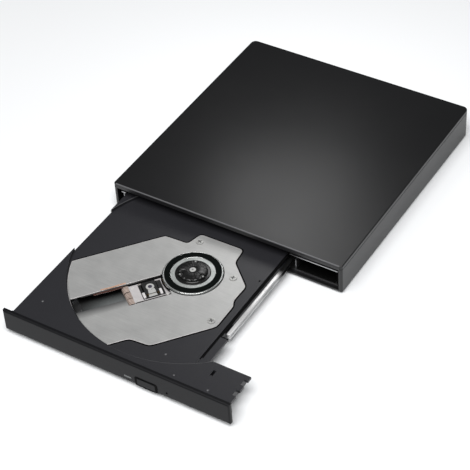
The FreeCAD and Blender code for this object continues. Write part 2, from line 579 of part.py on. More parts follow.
def drive_tub():
    floor = block("tub_floor", (drive_left, drive_right), (tub_front, pocket_back),
                  (base_top, tub_floor_top))
    deep = block("tub_deep", (drive_left, step_wall_right), (tub_front, drive_back),
                 (base_top, tub_floor_top))
    raised = block("tub_raised", (step_wall_left, drive_right),
                   (f"{pocket_back} - sheet_thickness", drive_back),
                   (f"{wing_floor_top} - sheet_thickness", wing_floor_top))
    bulkhead = block("tub_bulkhead", (step_wall_left, drive_right),
                     (f"{pocket_back} - sheet_thickness", pocket_back),
                     (base_top, wing_floor_top))
    step = block("tub_step", (step_wall_left, step_wall_right), (tub_front, drive_back),
                 (base_top, f"{base_top} + step_wall_top"))
    left = block("tub_left", (drive_left, tub_left_inner), (tub_front, drive_back), (base_top, wall_top))
    right = block("tub_right", (tub_right_inner, drive_right), (tub_front, drive_back),
                  (base_top, wall_top))
    back = block("tub_back", (drive_left, drive_right), (f"{drive_back} - sheet_thickness", drive_back),
                 (base_top, wall_top))
    low_x, high_x = main_board_x
    low_y, high_y = main_board_y
    dimples = [rod(f"tub_dimple_{i}_{j}", (x, y, wing_floor_top), "main_board_gap", "main_board_margin")
               for i,
               x in enumerate((f"{low_x} + main_board_margin * 2", f"{high_x} - main_board_margin * 2"))
               for j,
               y in enumerate((f"{low_y} + main_board_margin * 2", f"{high_y} - main_board_margin * 2"))]
    whole = join("tub_whole", floor, deep, raised, bulkhead, step, left, right, back, *dimples)
    reach = "drive_width / 2"
    drills = [side_screw(f"tub_drill_{i}", side, y, "chassis_screw_radius + shaft_clearance",
                         f"{reach} - 2 * sheet_thickness", f"{reach} + sheet_thickness")
              for i, (side, y) in enumerate(chassis_screw_spots)]
    finish("drive_tub", carve("tub_cut", whole, *drills))


def drive_lid():
    plate = block("lid_plate", (drive_left, drive_right), (lid_front, drive_back), (wall_top, drive_top))
    left = block("lid_left", (f"{drive_left} - flange_sheet", drive_left), (tub_front, drive_back),
                 (flange_bottom, drive_top))
    right = block("lid_right", (drive_right, f"{drive_right} + flange_sheet"), (tub_front, drive_back),
                  (flange_bottom, drive_top))
    reach = "drive_width / 2"
    drills = [side_screw(f"lid_drill_{i}", side, y, "chassis_screw_radius + shaft_clearance",
                         f"{reach} - sheet_thickness", f"{reach} + 2 * sheet_thickness")
              for i, (side, y) in enumerate(chassis_screw_spots)]
    bay = block("lid_bay", (f"{drive_left} + lid_bay_side", f"{step_wall_left} - lid_bay_side"),
                (f"{lid_front} - cut_over", f"{lid_front} + lid_bay_setback"),
                (f"{wall_top} - cut_over", f"{drive_top} + cut_over"))
    finish("drive_lid", carve("lid_cut", join("lid_whole", plate, left, right), bay, *drills))


def lid_screws():
    reach = "drive_width / 2"
    pieces = []
    for i, (side, y) in enumerate(chassis_screw_spots):
        pieces.append(side_screw(f"lid_shank_{i}", side, y, "chassis_screw_radius",
                                 f"{reach} - sheet_thickness", f"{reach} + flange_sheet"))
        pieces.append(side_screw(f"lid_head_{i}", side, y, "chassis_head_radius",
                                 f"{reach} + flange_sheet",
                                 f"{reach} + flange_sheet + chassis_screw_head"))
    finish("lid_screws", join("lid_screw_set", *pieces))


def main_board():
    finish("main_board", block("main_board_plate", main_board_x, main_board_y, main_board_z))
    low_x = main_board_x[0]
    top = main_board_z[1]
    chips = []
    for i in range(1, 5):
        chip = f"main_chip_{i}"
        start_x, start_y = f"({low_x} + {chip}_x)", f"({main_board_y[0]} + {chip}_y)"
        chips.append(block(chip + "_block", (start_x, f"{start_x} + {chip}_wide"),
                           (start_y, f"{start_y} + {chip}_long"), (top, f"{top} + chip_height")))
    finish("main_chips", join("main_chip_set", *chips))
    finish("ribbon_socket",
           block("ribbon_socket_block",
                 (f"{low_x} + main_board_margin / 2", f"{low_x} + main_board_margin * 2"),
                                  (f"{ribbon_turn} + main_board_margin / 2", main_board_y[1]),
                                  (top, f"{base_top} + step_wall_top")))


def ribbon_cable():
    run = block("ribbon_run", ribbon_x, (f"{tray_back} - tray_wall", f"{ribbon_turn} + ribbon_width"),
                (tub_floor_top, ribbon_top))
    turn = block("ribbon_side", (ribbon_x[0], step_wall_left),
                 (ribbon_turn, f"{ribbon_turn} + ribbon_width"),
                 (tub_floor_top, ribbon_top))
    crest = f"({base_top} + step_wall_top)"
    climb = block("ribbon_climb", (f"{step_wall_left} - ribbon_thickness", step_wall_left),
                  (f"{ribbon_turn} + main_board_margin",
                   f"{ribbon_turn} + ribbon_width - main_board_margin"),
                  (tub_floor_top, f"{crest} + ribbon_thickness"))
    over = block("ribbon_over",
                 (f"{step_wall_left} - ribbon_thickness", f"{main_board_x[0]} + main_board_margin * 2"),
                 (f"{ribbon_turn} + main_board_margin",
                  f"{ribbon_turn} + ribbon_width - main_board_margin"),
                 (crest, f"{crest} + ribbon_thickness"))
    finish("ribbon_cable", join("ribbon_whole", run, turn, climb, over))


drive_tub()
drive_lid()
lid_screws()
main_board()
ribbon_cable()

# Rails, each an I section, and the guides that carry them

rail_y = (rail_front, f"{rail_front} + rail_length")
groove_z = (groove_bottom, groove_top)
rib_z = (f"{groove_bottom} + rail_clearance", f"{groove_top} - rail_clearance")
groove_depth = "((rail_width - rail_web) / 2)"
right_rail_outer = f"({right_rail_inner} + rail_width)"
guide_y = (f"{tub_front} + tub_setback", "case_depth / 5")
guide_top = f"({rail_top} - rail_clearance / 2)"


def rail(label, low, high):
    """A rail between two places across, grooved along both sides."""
    bar = block(label + "_bar", (low, high), rail_y, (rail_bottom, rail_top))
    grooves = [block(f"{label}_groove_{i}", span, (f"{rail_y[0]} - cut_over", f"{rail_y[1]} + cut_over"),
                     groove_z)
               for i, span in enumerate(((f"{low} - cut_over", f"{low} + {groove_depth}"),
                                         (f"{high} - {groove_depth}", f"{high} + cut_over")))]
    finish(label, carve(label + "_cut", bar, *grooves))


def guide(label, wall, rail_outer, inward):
    """A guide against a chassis wall, with a rib in the rail's outer groove and a foot under it."""
    def span(start, end):
        return (start, end) if inward > 0 else (end, start)
    face = f"({rail_outer} - ({inward}) * rail_clearance)"
    rib_tip = f"({rail_outer} + ({inward}) * ({groove_depth} - hook_tip_gap))"
    foot_tip = f"({rail_outer} + ({inward}) * rail_width)"
    plate = block(label + "_plate", span(wall, face), guide_y, (tub_floor_top, guide_top))
    rib = block(label + "_rib", span(face, rib_tip), guide_y, rib_z)
    foot = block(label + "_foot", span(face, foot_tip), guide_y,
                 (tub_floor_top, f"{rail_bottom} - rail_clearance"))
    finish(label, join(label + "_whole", plate, rib, foot))


def latch_post():
    latch_post_y = f"({latch_pivot_y} + tray_travel - latch_thickness / 2 - 2 * latch_post_radius)"
    spot = ("drive_centre + latch_post_offset", latch_post_y, tub_floor_top)
    finish("latch_post", rod("latch_post_pin", spot, "latch_post_height", "latch_post_radius"))


latch_pivot_x = "(drive_centre + latch_pivot_offset)"
latch_pivot_y = f"({bezel_back} + latch_pivot_depth)"
rail("left_rail", left_rail_outer, left_rail_inner)
rail("right_rail", right_rail_inner, right_rail_outer)
guide("left_guide", tub_left_inner, left_rail_outer, 1)
guide("right_guide", step_wall_left, right_rail_outer, -1)
latch_post()

# Corners of the window in the tray that the cover plate fills, about the spindle: along the sled's
# direction, then across it. The first and last lie past the well's edge, which closes the window.
WINDOW = [(f"window_along_{i}", f"window_across_{i}") for i in range(1, 14)]
PLATE_SCREWS = [(f"screw_along_{i}", f"screw_across_{i}") for i in range(1, 4)]
PLATE_RESTS = [(f"rest_along_{i}", f"rest_across_{i}") for i in range(1, 3)]
DAMPERS = [(f"damper_along_{i}", f"damper_across_{i}") for i in range(1, 4)]


def drawn_in(points, distance):
    """The corners of an outline, run clockwise, moved inwards by a distance."""
    corners = [(number(along), number(across)) for along, across in points]
    moved = []
    count = len(corners)
    for i, (x, y) in enumerate(corners):
        before, after = corners[i - 1], corners[(i + 1) % count]
        first = Vector(x - before[0], y - before[1], 0).normalize()
        second = Vector(after[0] - x, after[1] - y, 0).normalize()
        inward_first = Vector(first.y, -first.x, 0)
        inward_second = Vector(second.y, -second.x, 0)
        bisector = inward_first + inward_second
        shift = bisector * (2 * distance / bisector.Length ** 2)
        moved.append((x + shift.x, y + shift.y))
    return moved


def window_prism(name, inset, low, high, reach):
    """The window's outline drawn in by an inset, within a circle about the spindle."""
    prism = slab(name + "_outline", drawn_in(WINDOW, number(inset)), low, high)
    rounded = soften(name + "_rounded", prism, "plate_round", upright)
    circle = rod(name + "_circle", ("0", "0", f"{low} - cut_over"), f"({high}) - ({low}) + 2", reach)
    inside = document.addObject("Part::Common", name)
    inside.Base = rounded
    inside.Tool = circle
    return inside


# Tray moulding

def tray_frame():
    notch_far = f"({wing_right} - wing_notch)"
    notches = []
    corner_y = wing_back
    for i in range(2):
        start = f"({wing_back} - first_notch_setback - wing_notch_length * {2 * i})"
        end = f"({start} - wing_notch_length)"
        notches += [(wing_right, end), (notch_far, end), (notch_far, start), (wing_right, start)]
    ordered = [(wing_right, bezel_back)]
    for i in reversed(range(2)):
        ordered += notches[4 * i:4 * i + 4]
    outline = [(tray_left, bezel_back)] + ordered
    outline += [(wing_right, corner_y), ("(drive_centre + wing_start)", corner_y), (tray_right, corner_y),
                (tray_right, tray_back), (tray_left, tray_back)]
    plate = slab("tray_plate", outline, tray_under, tray_top)
    under_wing = block("under_wing", (tray_right, f"{wing_right} + cut_over"),
                       (f"{bezel_back} - cut_over", f"{wing_back} + cut_over"),
                       (f"{tray_under} - cut_over", wing_under))
    well = rod("well_cone", ("drive_centre", spindle_y, well_floor), "well_depth", "well_radius",
               top_radius="well_radius + well_flare")
    back_well = rod("back_well", ("drive_centre", f"{spindle_y} + back_well_shift", well_floor),
                    "well_depth + cut_over", "well_radius + back_well_reach")
    window = about_spindle("tray_window",
                           window_prism("window", "0", f"{tray_under} - cut_over",
                                        f"{well_floor} + cut_over", "well_radius"))
    open_plate = carve("tray_open", plate, under_wing, well, back_well, window)
    lug_x = (f"{tray_right} + lug_gap", f"{tray_right} + lug_gap + lug_width")
    lug = block("rail_lug", lug_x, (f"{wing_back} - lug_width", f"{wing_back} + lug_length"),
                (f"{well_floor} - lug_thickness", well_floor))
    lug_root = block("lug_root", lug_x, (f"{wing_back} - lug_width", wing_back),
                     (f"{well_floor} - lug_thickness", f"{wing_under} + wing_plate / 2"))
    low = skirt_bottom
    left_wall_x = (f"{left_rail_inner} + rail_clearance",
                   f"{left_rail_inner} + rail_clearance + tray_wall")
    right_wall_x = (f"{tray_right} - tray_wall", tray_right)
    walls = [
        block("front_wall", (left_wall_x[0], tray_right), (bezel_back, f"{bezel_back} + tray_wall"),
              (low, tray_under)),
        block("back_wall", (left_wall_x[0], tray_right), (f"{tray_back} - tray_wall", tray_back),
              (low, tray_under)),
        block("left_wall", left_wall_x, (bezel_back, tray_back), (low, tray_under)),
        block("right_wall", right_wall_x, (bezel_back, tray_back), (low, tray_under)),
        block("wing_front", (tray_right, wing_right), (bezel_back, f"{bezel_back} + tray_wall"),
              (f"{wing_under} - wing_skirt_drop", wing_under)),
        block("wing_skirt", (f"{wing_right} - wing_notch - tray_wall", f"{wing_right} - wing_notch"),
              (bezel_back, wing_back), (f"{wing_under} - wing_skirt_drop", wing_under)),
    ]
    hooks = []
    for i, y in enumerate((f"({rail_front} - lug_thickness + hook_length / 2)",
                           f"({tray_back} - hook_length * 2)")):
        span = (y, f"{y} + hook_length")
        hooks.append(block(f"right_hook_{i}",
                           (tray_right,
                            f"{right_rail_inner} + {groove_depth} - hook_tip_gap"), span, rib_z))
        hooks.append(block(f"left_hook_{i}",
                           (f"{left_rail_inner} - {groove_depth} + hook_tip_gap",
                            left_wall_x[0]), span, rib_z))
    pegs = []
    for i, (along, across) in enumerate(DAMPERS):
        pegs.append(rod(f"damper_boss_{i}", (along, across, f"{tray_under} - tray_floor / 2"),
                        "tray_floor", "damper_radius + tray_wall / 2"))
    pegs = about_spindle("damper_bosses", join("damper_boss_set", *pegs))
    pivot = rod("latch_pivot", (latch_pivot_x, latch_pivot_y, shield_top),
                f"{tray_under} - {shield_top}", "latch_pin")
    whole = join("tray_whole", open_plate, lug, lug_root, *walls, *hooks, pegs, pivot)
    holes = []
    for i, (along, across) in enumerate(DAMPERS):
        holes.append(rod(f"damper_pilot_{i}", (along, across, skirt_bottom),
                         f"{tray_under} + tray_floor / 2 - {skirt_bottom}", "damper_bore - hook_tip_gap"))
    pilot = about_spindle("damper_pilots", join("damper_pilot_set", *holes))
    wall_y = (f"{bezel_back} - cut_over", f"{bezel_back} + tray_wall")
    stem_room = block("stem_room", ("drive_centre + button_offset - stem_width / 2 - button_clearance",
                                    "drive_centre + button_offset + stem_width / 2 + button_clearance"),
                                    wall_y,
                      (f"{switch_z[0]} - button_clearance",
                       f"{switch_z[0]} + stem_height + button_clearance"))
    pipe_room = block("pipe_room", (f"{led_x[0]} - led_clearance", f"{led_x[1]} + led_clearance"), wall_y,
                      (f"{led_z[0]} - led_clearance", f"{led_z[1]} + led_clearance"))
    slot_x, slot_y = f"({wing_right} - wing_slot_side)", f"({wing_back} - wing_slot_back)"
    details = [
        stem_room, pipe_room,
        block("wing_slot", (slot_x, f"{slot_x} + wing_slot_length"),
              (slot_y, f"{slot_y} + wing_slot_width"),
              (f"{wing_under} - cut_over", f"{tray_top} + cut_over")),
        rod("edge_hole",
            (f"{tray_right} - edge_hole_side", f"{spindle_y} + edge_hole_back",
             f"{tray_under} - cut_over"), "tray_floor + 2 * cut_over", "edge_hole_radius"),
        rod("wing_peg_hole",
            (f"{wing_right} - wing_hole_side", f"{bezel_back} + wing_hole_back",
             f"{wing_under} - cut_over"), "wing_plate + 2 * cut_over", "wing_hole_radius"),
        rod("front_dimple",
            ("drive_centre + dimple_offset", f"{bezel_back} + dimple_back", f"{tray_top} - dimple_depth"),
            "cut_over", "dimple_radius"),
    ]
    finish("tray_frame", carve("tray_cut", whole, pilot, *details))


def front_bezel():
    left, right = f"{drive_left} - bezel_overhang", f"{drive_right} + bezel_overhang"
    raw = block("bezel_bar", (left, right), (bezel_front, bezel_back), (bezel_bottom, bezel_top))
    ends = soften("bezel_ends", raw, "bezel_corner",
                  lambda edge: edge.CenterOfMass.y < number(f"{bezel_front} + bezel_corner / 2"))
    cuts = [
        block("button_window", (f"{button_x[0]} - button_clearance", f"{button_x[1]} + button_clearance"),
              (f"{bezel_front} - cut_over", f"{bezel_back} + cut_over"),
              (f"{button_z[0]} - button_clearance", f"{button_z[1]} + button_clearance")),
        block("led_window", (f"{led_x[0]} - led_clearance", f"{led_x[1]} + led_clearance"),
              (f"{bezel_front} - cut_over", f"{bezel_back} + cut_over"),
              (f"{led_z[0]} - led_clearance", f"{led_z[1]} + led_clearance")),
        rod("pinhole", ("drive_centre + pinhole_offset", f"{bezel_front} - cut_over", led_middle),
            "bezel_thickness + 2 * cut_over", "pinhole_radius", "y"),
    ]
    finish("front_bezel", carve("bezel_cut", ends, *cuts))


button_x = ("drive_centre + button_offset - button_width / 2",
            "drive_centre + button_offset + button_width / 2")
button_z = (f"{bezel_top} - button_drop - button_height", f"{bezel_top} - button_drop")
led_x = ("drive_centre + led_offset - led_width / 2", "drive_centre + led_offset + led_width / 2")
led_middle = f"({button_z[0]} + led_rise)"
led_z = (f"{led_middle} - led_height / 2", f"{led_middle} + led_height / 2")
latch_bottom = f"({shield_bottom} + latch_thickness / 2)"
control_board_z = (f"{base_top} + control_board_lift",
                   f"{base_top} + control_board_lift + board_thickness / 2")
switch_z = (control_board_z[1], f"{control_board_z[1]} + switch_height")
tray_frame()
front_bezel()


# Traverse: cover plate, frame, rubber mounts, shafts and motors, all built about the spindle

rotor_bottom = f"({frame_top} + motor_base + rotor_gap)"


def pins(name, spots, low, high, radius):
    """Upright rods at spots about the spindle, as one group."""
    rods = [rod(f"{name}_{i}", (along, across, low), f"({high}) - ({low})", radius)
            for i, (along, across) in enumerate(spots)]
    return join(name, *rods)


def cover_plate():
    reach = "well_radius - shaft_clearance"
    sheet_metal = window_prism("cover_sheet", "plate_gap", plate_under, plate_top, reach)
    slot = block("cover_slot", ("slot_start", "well_radius + cut_over"), ("slot_low", "slot_high"),
                 (f"{plate_under} - cut_over", f"{plate_top} + cut_over"))
    ring = rod("cover_ring", ("0", "0", f"{plate_under} - cut_over"), "plate_sheet + 2 * cut_over",
               "turntable_radius + turntable_gap")
    holes = pins("cover_holes", PLATE_SCREWS, f"{plate_under} - cut_over", f"{plate_top} + cut_over",
                 "plate_screw_radius + shaft_clearance")
    flanges = [block(f"cover_flange_{i}", ("slot_flange_start", "slot_flange_end"), span,
                     (f"{plate_under} - slot_flange", plate_under))
               for i,
               span in enumerate((("slot_low - plate_sheet", "slot_low"),
                                  ("slot_high", "slot_high + plate_sheet")))]
    bend = document.addObject("Part::Common", "cover_bend")
    bend.Base = lengthwise("cover_bend_run", [
        ("slot_high", plate_top), ("bend_low", f"{plate_top} - bend_drop"),
        ("bend_low", f"{plate_top} - bend_drop - bend_sheet"), ("slot_high", plate_under)],
        "bend_start", reach)
    bend.Tool = rod("cover_bend_end", ("0", "0", f"{plate_under} - cut_over"),
                    "plate_sheet + 2 * cut_over", reach)
    whole = join("cover_joined", carve("cover_open", sheet_metal, slot, ring, holes), bend, *flanges)
    finish("cover_plate", whole, on_sled=True)


def plate_screws():
    shanks = pins("plate_shanks", PLATE_SCREWS, f"{plate_under} - slot_flange * 2", plate_top,
                  "plate_screw_radius")
    heads = pins("plate_heads", PLATE_SCREWS, plate_top, f"{plate_top} + plate_screw_rise",
                 "plate_screw_head")
    slots = [block(f"plate_slot_{i}_{turn}", (f"{x} - {long}", f"{x} + {long}"),
                   (f"{y} - {wide}", f"{y} + {wide}"),
                   (f"{plate_top} + plate_screw_rise / 2", f"{plate_top} + plate_screw_rise + cut_over"))
             for i, (x, y) in enumerate(PLATE_SCREWS) for turn, (long, wide) in enumerate(CROSS)]
    finish("plate_screws", carve("plate_screw_cut", join("plate_screw_blanks", shanks, heads), *slots),
           on_sled=True)


def traverse_frame():
    base = window_prism("frame_sheet_metal", "frame_inset", frame_bottom, frame_top,
                        "well_radius - frame_inset")
    ears = pins("frame_ears", DAMPERS, frame_bottom, frame_top, "ear_radius")
    (first_x, first_y), (second_x, second_y), (third_x, third_y) = DAMPERS
    neck_z = (frame_bottom, frame_top)
    necks = [
        block("frame_neck_0", (first_x, f"{first_x} + ear_neck_long"),
              (f"{first_y} - ear_neck_half", f"{first_y} + 3 * ear_neck_half"), neck_z),
        block("frame_neck_1", (f"{second_x} - ear_neck_half", f"{second_x} + ear_neck_half"),
              (f"{second_y} - ear_neck_long", second_y), neck_z),
        block("frame_neck_2", (f"{third_x} - ear_neck_half", f"{third_x} + ear_neck_half"),
              (third_y, f"{third_y} + ear_neck_long"), neck_z),
    ]
    pillars = pins("frame_pillars", PLATE_SCREWS + PLATE_RESTS, frame_top, plate_under, "pillar_radius")
    plate = join("frame_plate", base, ears, pillars, *necks)
    opening = block("frame_window", ("frame_window_start", "well_radius + frame_window_far"),
                    ("frame_window_low", "frame_window_high"),
                    (f"{frame_bottom} - cut_over", f"{frame_top} + cut_over"))
    nest = block("stepper_nest", ("stepper_start", "stepper_start + stepper_length + shaft_clearance"),
                 ("screw_shaft_side - stepper_width / 2 - shaft_clearance",
                  "screw_shaft_side + stepper_width / 2 + shaft_clearance"),
                 (f"{frame_bottom} - cut_over", f"{frame_top} + cut_over"))
    holes = pins("frame_holes", DAMPERS, f"{frame_bottom} - cut_over", f"{frame_top} + cut_over",
                 "damper_bore + shaft_clearance")
    block_z = (frame_bottom, "shaft_lift + shaft_radius + holder_rise")
    plate_z = (frame_bottom, frame_top)
    main_outside = "main_shaft_side + main_end_outside"
    idle_outside = "idle_shaft_side - idle_end_outside"
    idle_inside = "idle_shaft_side + idle_holder_inside"
    idle_start = "(shaft_start + idle_shaft_setback)"
    tongue_x = ("shaft_end - tongue_length", "shaft_end")
    end_x = ("shaft_end - outer_holder", "shaft_end")
    ends = [
        block("main_inner_end", ("shaft_start", "shaft_start + inner_holder"),
              ("main_shaft_side - main_holder_inside", "main_shaft_side + main_holder_outside"), block_z),
        block("main_outer_end", end_x, ("main_shaft_side - main_end_inside", main_outside), block_z),
        block("idle_inner_end", (idle_start, f"{idle_start} + idle_holder"),
              ("idle_shaft_side - idle_holder_outside", idle_inside), block_z),
        block("idle_outer_end", end_x, (idle_outside, idle_inside), block_z),
        block("main_tongue", tongue_x, ("frame_window_high", main_outside), plate_z),
        block("idle_tongue", tongue_x, (idle_outside, "frame_window_low + tongue_overlap"), plate_z),
        block("screw_inner_end", ("screw_shaft_start - screw_holder", "screw_shaft_start"),
              ("screw_shaft_side - screw_holder_half", "screw_shaft_side + screw_holder_half"), block_z),
    ]
    bores = [
        rod("main_shaft_bore", ("shaft_start - cut_over", "main_shaft_side", shaft_height),
            "shaft_end - shaft_start + 2 * cut_over", "shaft_radius + shaft_clearance", "x"),
        rod("idle_shaft_bore", ("shaft_start - cut_over", "idle_shaft_side", shaft_height),
            "shaft_end - shaft_start + 2 * cut_over", "idle_shaft_radius + shaft_clearance", "x"),
        rod("screw_shaft_bore",
            ("screw_shaft_start - screw_holder - cut_over", "screw_shaft_side", shaft_height),
            "screw_holder + 2 * cut_over", "screw_tip_radius + shaft_clearance", "x"),
        pins("pillar_bores", PLATE_SCREWS, f"{frame_top} + cut_over", f"{plate_under} + cut_over",
             "plate_screw_radius + shaft_clearance"),
    ]
    cut_plate = carve("frame_cut", plate, opening, nest, holes)
    finish("traverse_frame", carve("frame_bored", join("frame_built", cut_plate, *ends), *bores),
           on_sled=True)


def damper_mounts():
    bushes = carve("bush_ring",
                   pins("bushes", DAMPERS, frame_top, f"{tray_under} - tray_floor / 2", "damper_radius"),
                   pins("bush_bores", DAMPERS, f"{frame_top} - cut_over", tray_under,
                        "damper_bore + shaft_clearance"))
    finish("damper_bushes", bushes, on_sled=True)
    shanks = pins("damper_shanks", DAMPERS, frame_bottom, f"{tray_under} - tray_floor / 2 + hook_tip_gap",
                  "damper_bore - hook_tip_gap - shaft_clearance")
    heads = pins("damper_heads", DAMPERS, f"{frame_bottom} - frame_sheet / 2", frame_bottom,
                 "damper_head")
    finish("damper_screws", join("damper_screw_set", shanks, heads), on_sled=True)


def spindle_motor():
    low, high = frame_top, f"({frame_top} + motor_base)"
    bore, crown = "spindle_radius + shaft_clearance", f"{plate_under} - rotor_gap * 2"
    stator = turned("motor_stator", [(bore, low), ("motor_radius", low), ("motor_radius", high),
                                     ("stator_radius", high), ("stator_radius", crown), (bore, crown)])
    finish("spindle_motor", stator, on_sled=True)


def shafts():
    length = "shaft_end - shaft_start"
    finish("main_guide_shaft",
           rod("main_shaft", ("shaft_start", "main_shaft_side", shaft_height), length, "shaft_radius",
               "x"), on_sled=True)
    idle = rod("idle_shaft", ("shaft_start + idle_shaft_setback", "idle_shaft_side", shaft_height),
               f"{length} - idle_shaft_setback", "idle_shaft_radius", "x")
    finish("idle_guide_shaft", idle, on_sled=True)
    thread = rod("screw_thread",
                 ("screw_shaft_start + shaft_clearance", "screw_shaft_side", shaft_height),
                 "stepper_start - screw_shaft_start - 2 * shaft_clearance", "screw_shaft_radius", "x")
    tip = rod("screw_tip", ("screw_shaft_start - screw_tip_length", "screw_shaft_side", shaft_height),
              "screw_tip_length + cut_over", "screw_tip_radius", "x")
    finish("lead_screw", join("screw_whole", thread, tip), on_sled=True)
    middle = f"({shield_top} + stepper_height / 2 + shield_gap)"
    body = block("stepper_body", ("stepper_start", "stepper_start + stepper_length"),
                 ("screw_shaft_side - stepper_width / 2", "screw_shaft_side + stepper_width / 2"),
                 (f"{middle} - stepper_height / 2", f"{middle} + stepper_height / 2"))
    finish("stepper_motor", soften("stepper_round", body, "shaft_radius",
                                   lambda edge: edge.BoundBox.XLength > number("stepper_length / 2")),
                                   on_sled=True)


cover_plate()
plate_screws()
traverse_frame()
damper_mounts()
spindle_motor()
shafts()

# Turntable, about the spindle: rotor cup, rubber ring, hub and its three sprung claws

turntable_top = f"({disc_plane} - ring_height)"
turntable_under = f"({turntable_top} - turntable_sheet)"
hub_top = f"({disc_plane} + hub_height)"
claw_bottom = f"({disc_plane} + claw_clearance)"


def turntable():
    finish("turntable", turned("turntable_turned", [
        ("turntable_bore", turntable_under), ("rotor_radius - rotor_gap", turntable_under),
        ("rotor_radius - rotor_gap", rotor_bottom), ("rotor_radius", rotor_bottom),
        ("rotor_radius", turntable_under), ("turntable_radius", turntable_under),
        ("turntable_radius", turntable_top), ("turntable_bore", turntable_top)]), on_sled=True)
    finish("friction_ring", turned("ring_turned", [
        ("ring_inner", turntable_top), ("ring_outer", turntable_top), ("ring_outer", disc_plane),
        ("ring_inner", disc_plane)]), on_sled=True)
    finish("spindle_shaft",
           rod("spindle_rod", ("0", "0", frame_top), f"{disc_plane} + hub_height / 2 - {frame_top}",
                                "spindle_radius"), on_sled=True)
    seat = f"({turntable_top} + ring_height / 2)"
    bore = "spindle_radius + shaft_clearance"
    hub = turned("hub_turned", [
        (bore, turntable_under), ("turntable_bore - shaft_clearance", turntable_under),
        ("turntable_bore - shaft_clearance", turntable_top),
        ("hub_flange", turntable_top), ("hub_flange", seat), ("hub_radius", seat),
        ("hub_radius", f"{disc_plane} + hub_height / 2"), ("hub_cap", hub_top),
        ("dot_radius + dot_groove", hub_top),
        ("dot_radius + dot_groove", f"{hub_top} - dot_height"), ("dot_radius", f"{hub_top} - dot_height"),
        ("dot_radius", hub_top), (bore, hub_top)])
    slots = []
    for i in range(3):
        slot = block(f"claw_slot_{i}",
                     ("hub_radius - claw_reach - claw_travel - claw_clearance", "hub_radius + cut_over"),
                     ("-claw_width / 2 - claw_clearance", "claw_width / 2 + claw_clearance"),
                     (f"{claw_bottom} - claw_clearance", f"{claw_bottom} + claw_height + claw_clearance"))
        turned_slot = document.addObject("Part::Compound", f"claw_slot_turned_{i}")
        turned_slot.Links = [slot]
        turned_slot.Placement.Rotation = FreeCAD.Rotation(Vector(0, 0, 1), 360 / 3 * i)
        slots.append(turned_slot)
    finish("turntable_hub", carve("hub_cut", hub, *slots), on_sled=True)
    for i in range(3):
        claw = slab(f"claw_plate_{i}",
                    [("hub_radius - claw_reach", "claw_width / 2"),
                     ("hub_radius - claw_reach", "-claw_width / 2"),
                                       ("hub_radius + claw_proud", "-claw_width / 3"),
                                       ("hub_radius + claw_proud", "claw_width / 3")],
                    claw_bottom, f"{claw_bottom} + claw_height")
        claw.Placement.Rotation = FreeCAD.Rotation(Vector(0, 0, 1), 360 / 3 * i)
        finish(f"claw_{i + 1}", claw, on_sled=True)


# Pickup sled, with its lens on a sprung holder

pickup_bottom = f"({shield_top} + shield_gap)"
pickup_top = f"({pickup_bottom} + pickup_height)"
pickup_y = ("slot_low + pickup_clearance - pickup_low_side",
            "slot_high - pickup_clearance + pickup_high_side")
pickup_x = ("pickup_body_start", "pickup_body_start + pickup_length")
cover_y = ("lid_low", "lid_high")
cover_top = f"({pickup_top} + cover_sheet)"
well_x = ("lens_start - holder_length / 2 - holder_gap", "lens_start + holder_length / 2 + holder_gap")
well_y = ("-holder_width / 2 - holder_gap", "holder_width / 2 + holder_gap")


laser_y = ("laser_low", "laser_high")
follower_x = f"({pickup_x[0]} + follower_start)"
holder_z = (f"({pickup_top} - holder_drop)", f"({pickup_top} - holder_drop + holder_height)")


def pickup_body():
    core = block("pickup_core", pickup_x, pickup_y, (pickup_bottom, pickup_top))
    bearing = block("pickup_bearing", ("pickup_body_start + bearing_start",
                                       "pickup_body_start + bearing_start + bearing_length"),
                    (pickup_y[1], "main_shaft_side + bearing_radius"),
                    (pickup_bottom, f"{shaft_height} + bearing_rise"))
    fork = block("pickup_fork", ("lens_start - fork_half", "lens_start + fork_half"),
                 ("idle_shaft_side - fork_reach", pickup_y[0]), (pickup_bottom, pickup_top))
    lens_well = block("lens_well", well_x, well_y,
                      (f"{pickup_bottom} + cover_sheet", f"{pickup_top} + cut_over"))
    laser_room = block("laser_room", (f"{pickup_x[1]} - laser_length", f"{pickup_x[1]} + cut_over"),
                       laser_y,
                       (f"{pickup_bottom} - cut_over", f"{pickup_top} + cut_over"))
    main_bore = rod("pickup_main_bore", ("pickup_body_start - cut_over", "main_shaft_side", shaft_height),
                    "pickup_length + 2 * cut_over", "shaft_radius + shaft_clearance", "x")
    fork_slot = block("pickup_fork_slot",
                      ("lens_start - fork_half - cut_over", "lens_start + fork_half + cut_over"),
                      ("idle_shaft_side - fork_reach - cut_over", "idle_shaft_side + fork_slot_reach"),
                      (f"{shaft_height} - idle_shaft_radius - shaft_clearance",
                       f"{shaft_height} + idle_shaft_radius + shaft_clearance"))
    built = join("pickup_built", core, bearing, fork)
    finish("pickup_body", carve("pickup_cut", built, lens_well, laser_room, main_bore, fork_slot),
           on_sled=True)


def pickup_cover():
    lid = block("pickup_lid",
                (f"{pickup_x[0]} + lid_start", f"{pickup_x[1]} - laser_length - lid_end_gap"), cover_y,
                (pickup_top, cover_top))
    low_high = (f"{pickup_top} - cut_over", f"{cover_top} + cut_over")
    window = block("lid_window", ("lid_window_start", "lid_window_end"),
                   ("lid_window_low", "lid_window_high"), low_high)
    finish("pickup_cover", carve("pickup_lid_cut", lid, window), on_sled=True)


